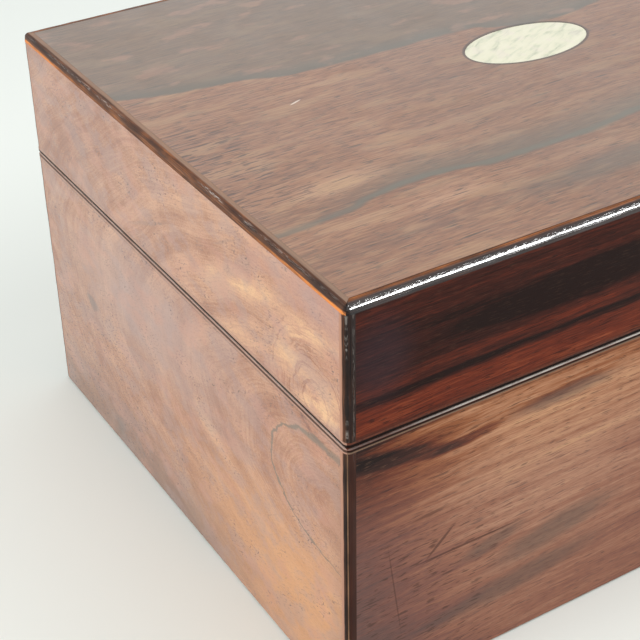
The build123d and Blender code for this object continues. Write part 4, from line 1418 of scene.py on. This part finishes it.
baize = cloth("green_baize", paint(22, 52, 38), paint(54, 94, 70), 0.7, 0.6)
underside = settle(underside_baize(), "base", baize, "underside_cloth", "underside_baize")

# %% [markdown]
# ## Turned brass
# The ink caps and the flap's knob were turned on a lathe. In Blender that is a disc whose top
# face is extruded and resized ring by ring, which is how the turner works down the profile. The
# caps also have a knurled band for the fingers, and are hollow underneath.

# %% Turning
def turned(name, sides, profile, at=(0, 0, 0)):
    """A round, upright piece at a place, from a profile of (radius, height) rings."""
    (first_radius, first_height), *rings = profile
    at = Vector(at)
    bpy.ops.object.select_all(action="DESELECT")
    bpy.ops.mesh.primitive_circle_add(vertices=sides, radius=first_radius * MM, fill_type="NGON",
                                      location=(at + Vector((0, 0, first_height))) * MM)
    piece = named(name)
    editing(piece)
    bpy.ops.mesh.select_all(action="SELECT")
    radius, height = first_radius, first_height
    for next_radius, next_height in rings:
        bpy.ops.mesh.extrude_region()
        bpy.ops.transform.translate(value=(0, 0, (next_height - height) * MM))
        share = next_radius / radius
        bpy.ops.transform.resize(value=(share, share, 1), center_override=at * MM)
        radius, height = next_radius, next_height
    bpy.ops.mesh.select_all(action="SELECT")
    bpy.ops.mesh.normals_make_consistent(inside=False)
    done()
    return piece


# %% Ink caps
CAP_SIDES = 96
CAP_WALL = 1.9
KNURL_DEPTH = 0.3
KNURL_RADIUS = 10.9
KNURL_LOW, KNURL_HIGH = 1.8, 5.4


def ink_cap(side):
    """One cap: hollow below, knurled round the middle, with a turned button on top."""
    low, high = [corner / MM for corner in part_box(side + "_ink_cap")]
    centre = (low + high) / 2
    radius, rise = (high.x - low.x) / 2, high.z - low.z
    inside = radius - CAP_WALL
    profile = [(0.6, 6.5), (inside, 6.5), (inside, 0.0), (radius - 0.3, 0.0), (radius, 0.3),
               (radius, 1.1), (radius - 0.5, 1.5), (KNURL_RADIUS, 1.9), (KNURL_RADIUS, 5.3),
               (radius - 0.5, 5.7), (radius, 6.1), (radius - 0.1, 6.8), (radius - 1.0, rise - 0.4),
               (radius - 2.0, rise - 0.5), (radius - 2.6, rise - 0.9), (6.4, rise - 0.8),
               (5.6, rise - 0.3), (3.0, rise), (0.6, rise)]
    piece = turned(side + "_turned_cap", CAP_SIDES, profile, (centre.x, centre.y, low.z))
    for corner in piece.data.vertices:
        arm = Vector((corner.co.x / MM - centre.x, corner.co.y / MM - centre.y))
        height = corner.co.z / MM - low.z
        step = round(math.atan2(arm.y, arm.x) / math.tau * CAP_SIDES)
        on_band = KNURL_LOW < height < KNURL_HIGH and arm.length > inside + 0.5
        if on_band and step % 2:
            corner.co.x -= arm.x / arm.length * KNURL_DEPTH * MM
            corner.co.y -= arm.y / arm.length * KNURL_DEPTH * MM
    return shaded(piece, 30)


for side in ("left", "right"):
    settle(ink_cap(side), "base", brass, "brass", side + "_ink_cap")

# %% Flap knob
KNOB_LOW, KNOB_HIGH = [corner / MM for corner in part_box("flap_knob")]
KNOB_RADIUS = (KNOB_HIGH.x - KNOB_LOW.x) / 2
STEM_RADIUS = 1.5
STEM_LENGTH = 4.5
KNOB_SIDES = 40
KNOB_STEPS = 8
KNOB_STEP_TURN = 10.5


def flap_knob():
    """A mushroom knob on a waisted neck, square to the sloping flap."""
    y_seat = KNOB_LOW.y + KNOB_RADIUS * (1 + math.sin(FLAP_LEAN))
    z_seat = KNOB_HIGH.z - KNOB_RADIUS * (1 + math.cos(FLAP_LEAN))
    profile = [(STEM_RADIUS, -STEM_LENGTH), (STEM_RADIUS, 0.0), (2.5, 0.0), (2.6, 0.3), (2.3, 0.6),
               (1.5, 0.9), (1.2, 1.6), (1.3, 2.3), (1.9, 2.7), (3.1, 2.9), (KNOB_RADIUS, 3.5)]
    for step in range(1, KNOB_STEPS + 1):
        turn = math.radians(step * KNOB_STEP_TURN)
        profile.append((KNOB_RADIUS * math.cos(turn), KNOB_RADIUS * (1 + math.sin(turn))))
    piece = turned("turned_knob", KNOB_SIDES, profile)
    piece.rotation_euler = (FLAP_LEAN, 0, 0)
    piece.location = Vector((0, y_seat, z_seat)) * MM
    only(piece)
    return shaded(named("turned_knob"), 30)


settle(flap_knob(), "writing_flap", brass, "brass", "flap_knob")

# %% [markdown]
# ## Floor and light
# A plain pale floor and soft studio light: one broad lamp to the left, one above and a fill to
# the right. These light the surfaces but don't show in the polish, which mirrors the white room.
# The last lamp is a long strip that shows only in polish, where it draws the bright line along
# the front arris. Light linking gives it to the worn edgings alone, because the broad faces
# would mirror it as a white band when the lid is up. Far from the box the floor fades into the
# white backdrop, as a paper sweep does.

# %% Floor and lamps
FLOOR_SIZE = 8.0
FADE_START, FADE_END = 700, 2200
bpy.ops.object.select_all(action="DESELECT")
bpy.ops.mesh.primitive_plane_add(size=FLOOR_SIZE)
floor = bpy.context.active_object
floor.name = "studio_floor"


def seen_directly(tree):
    """One for rays from the camera, also by way of a mirror or glass, and nought for light."""
    path = tree.nodes.new("ShaderNodeLightPath")
    share = path.outputs["Is Camera Ray"]
    for kind in ("Is Glossy Ray", "Is Transmission Ray"):
        either = tree.nodes.new("ShaderNodeMath")
        either.operation = "MAXIMUM"
        tree.links.new(share, either.inputs[0])
        tree.links.new(path.outputs[kind], either.inputs[1])
        share = either.outputs[0]
    return share


floor_finish = Finish("floor_paint")
floor_finish.set(base_color=paint(233, 238, 233), roughness=0.85, specular_ior_level=0.0)
distance = (floor_finish.x * floor_finish.x + floor_finish.y * floor_finish.y).do("SQRT")
far_off = distance.between(FADE_START, FADE_END) * seen_directly(floor_finish.tree)
fade = floor_finish.add("ShaderNodeMixShader")
floor_finish.feed(fade.inputs[0], far_off)
floor_finish.feed(fade.inputs[1], floor_finish.shader.outputs[0])
floor_finish.feed(fade.inputs[2], floor_finish.add("ShaderNodeEmission").outputs[0])
floor_finish.feed(floor_finish.tree.nodes["Material Output"].inputs["Surface"], fade.outputs[0])
floor.data.materials.append(floor_finish.material)


def lamp(name, place, size, power, only_in_polish=False):
    """A soft lamp, as wide and high as its size, that faces the middle of the box."""
    light = bpy.data.lights.new(name, "AREA")
    light.shape = "RECTANGLE"
    light.size, light.size_y = size
    light.energy = power
    holder = bpy.data.objects.new(name, light)
    holder.location = place
    aim = Vector((0, 0, Z_TOP * MM / 2)) - Vector(place)
    holder.rotation_euler = aim.to_track_quat("-Z", "Y").to_euler()
    holder.visible_diffuse = not only_in_polish
    holder.visible_glossy = only_in_polish
    holder.visible_camera = False
    bpy.context.scene.collection.objects.link(holder)
    return holder


lamp("left_softbox", (-1.5, -0.35, 0.95), (1.2, 1.2), 21)
lamp("top_softbox", (0.1, 0.4, 1.8), (1.4, 1.4), 10)
lamp("right_fill", (1.05, -0.72, 1.1), (1.1, 0.3), 12)
arris_mirror = lamp("arris_mirror", (0.78, -1.33, 0.14), (1.6, 0.26), 190, only_in_polish=True)
polished_edges = bpy.data.collections.new("polished_edges")
for name in ("lid_worn_edgings", "lid_worn_corners", "base_worn_corners"):
    polished_edges.objects.link(bpy.data.objects[name])
arris_mirror.light_linking.receiver_collection = polished_edges

# %% World
ROOM_LIGHT, BACKDROP_LIGHT = 0.4, 1.0
world = bpy.data.worlds.new("studio")
world.use_nodes = True
bpy.context.scene.world = world
world_nodes, world_links = world.node_tree.nodes, world.node_tree.links
backdrop = world_nodes["Background"]
room = world_nodes.new("ShaderNodeBackground")
for background, strength in ((room, ROOM_LIGHT), (backdrop, BACKDROP_LIGHT)):
    background.inputs["Color"].default_value = paint(255, 255, 255)
    background.inputs["Strength"].default_value = strength
choice = world_nodes.new("ShaderNodeMixShader")
world_links.new(seen_directly(world.node_tree), choice.inputs[0])
world_links.new(room.outputs[0], choice.inputs[1])
world_links.new(backdrop.outputs[0], choice.inputs[2])
world_links.new(choice.outputs[0], world_nodes["World Output"].inputs["Surface"])
bpy.context.scene.view_settings.view_transform = "Standard"
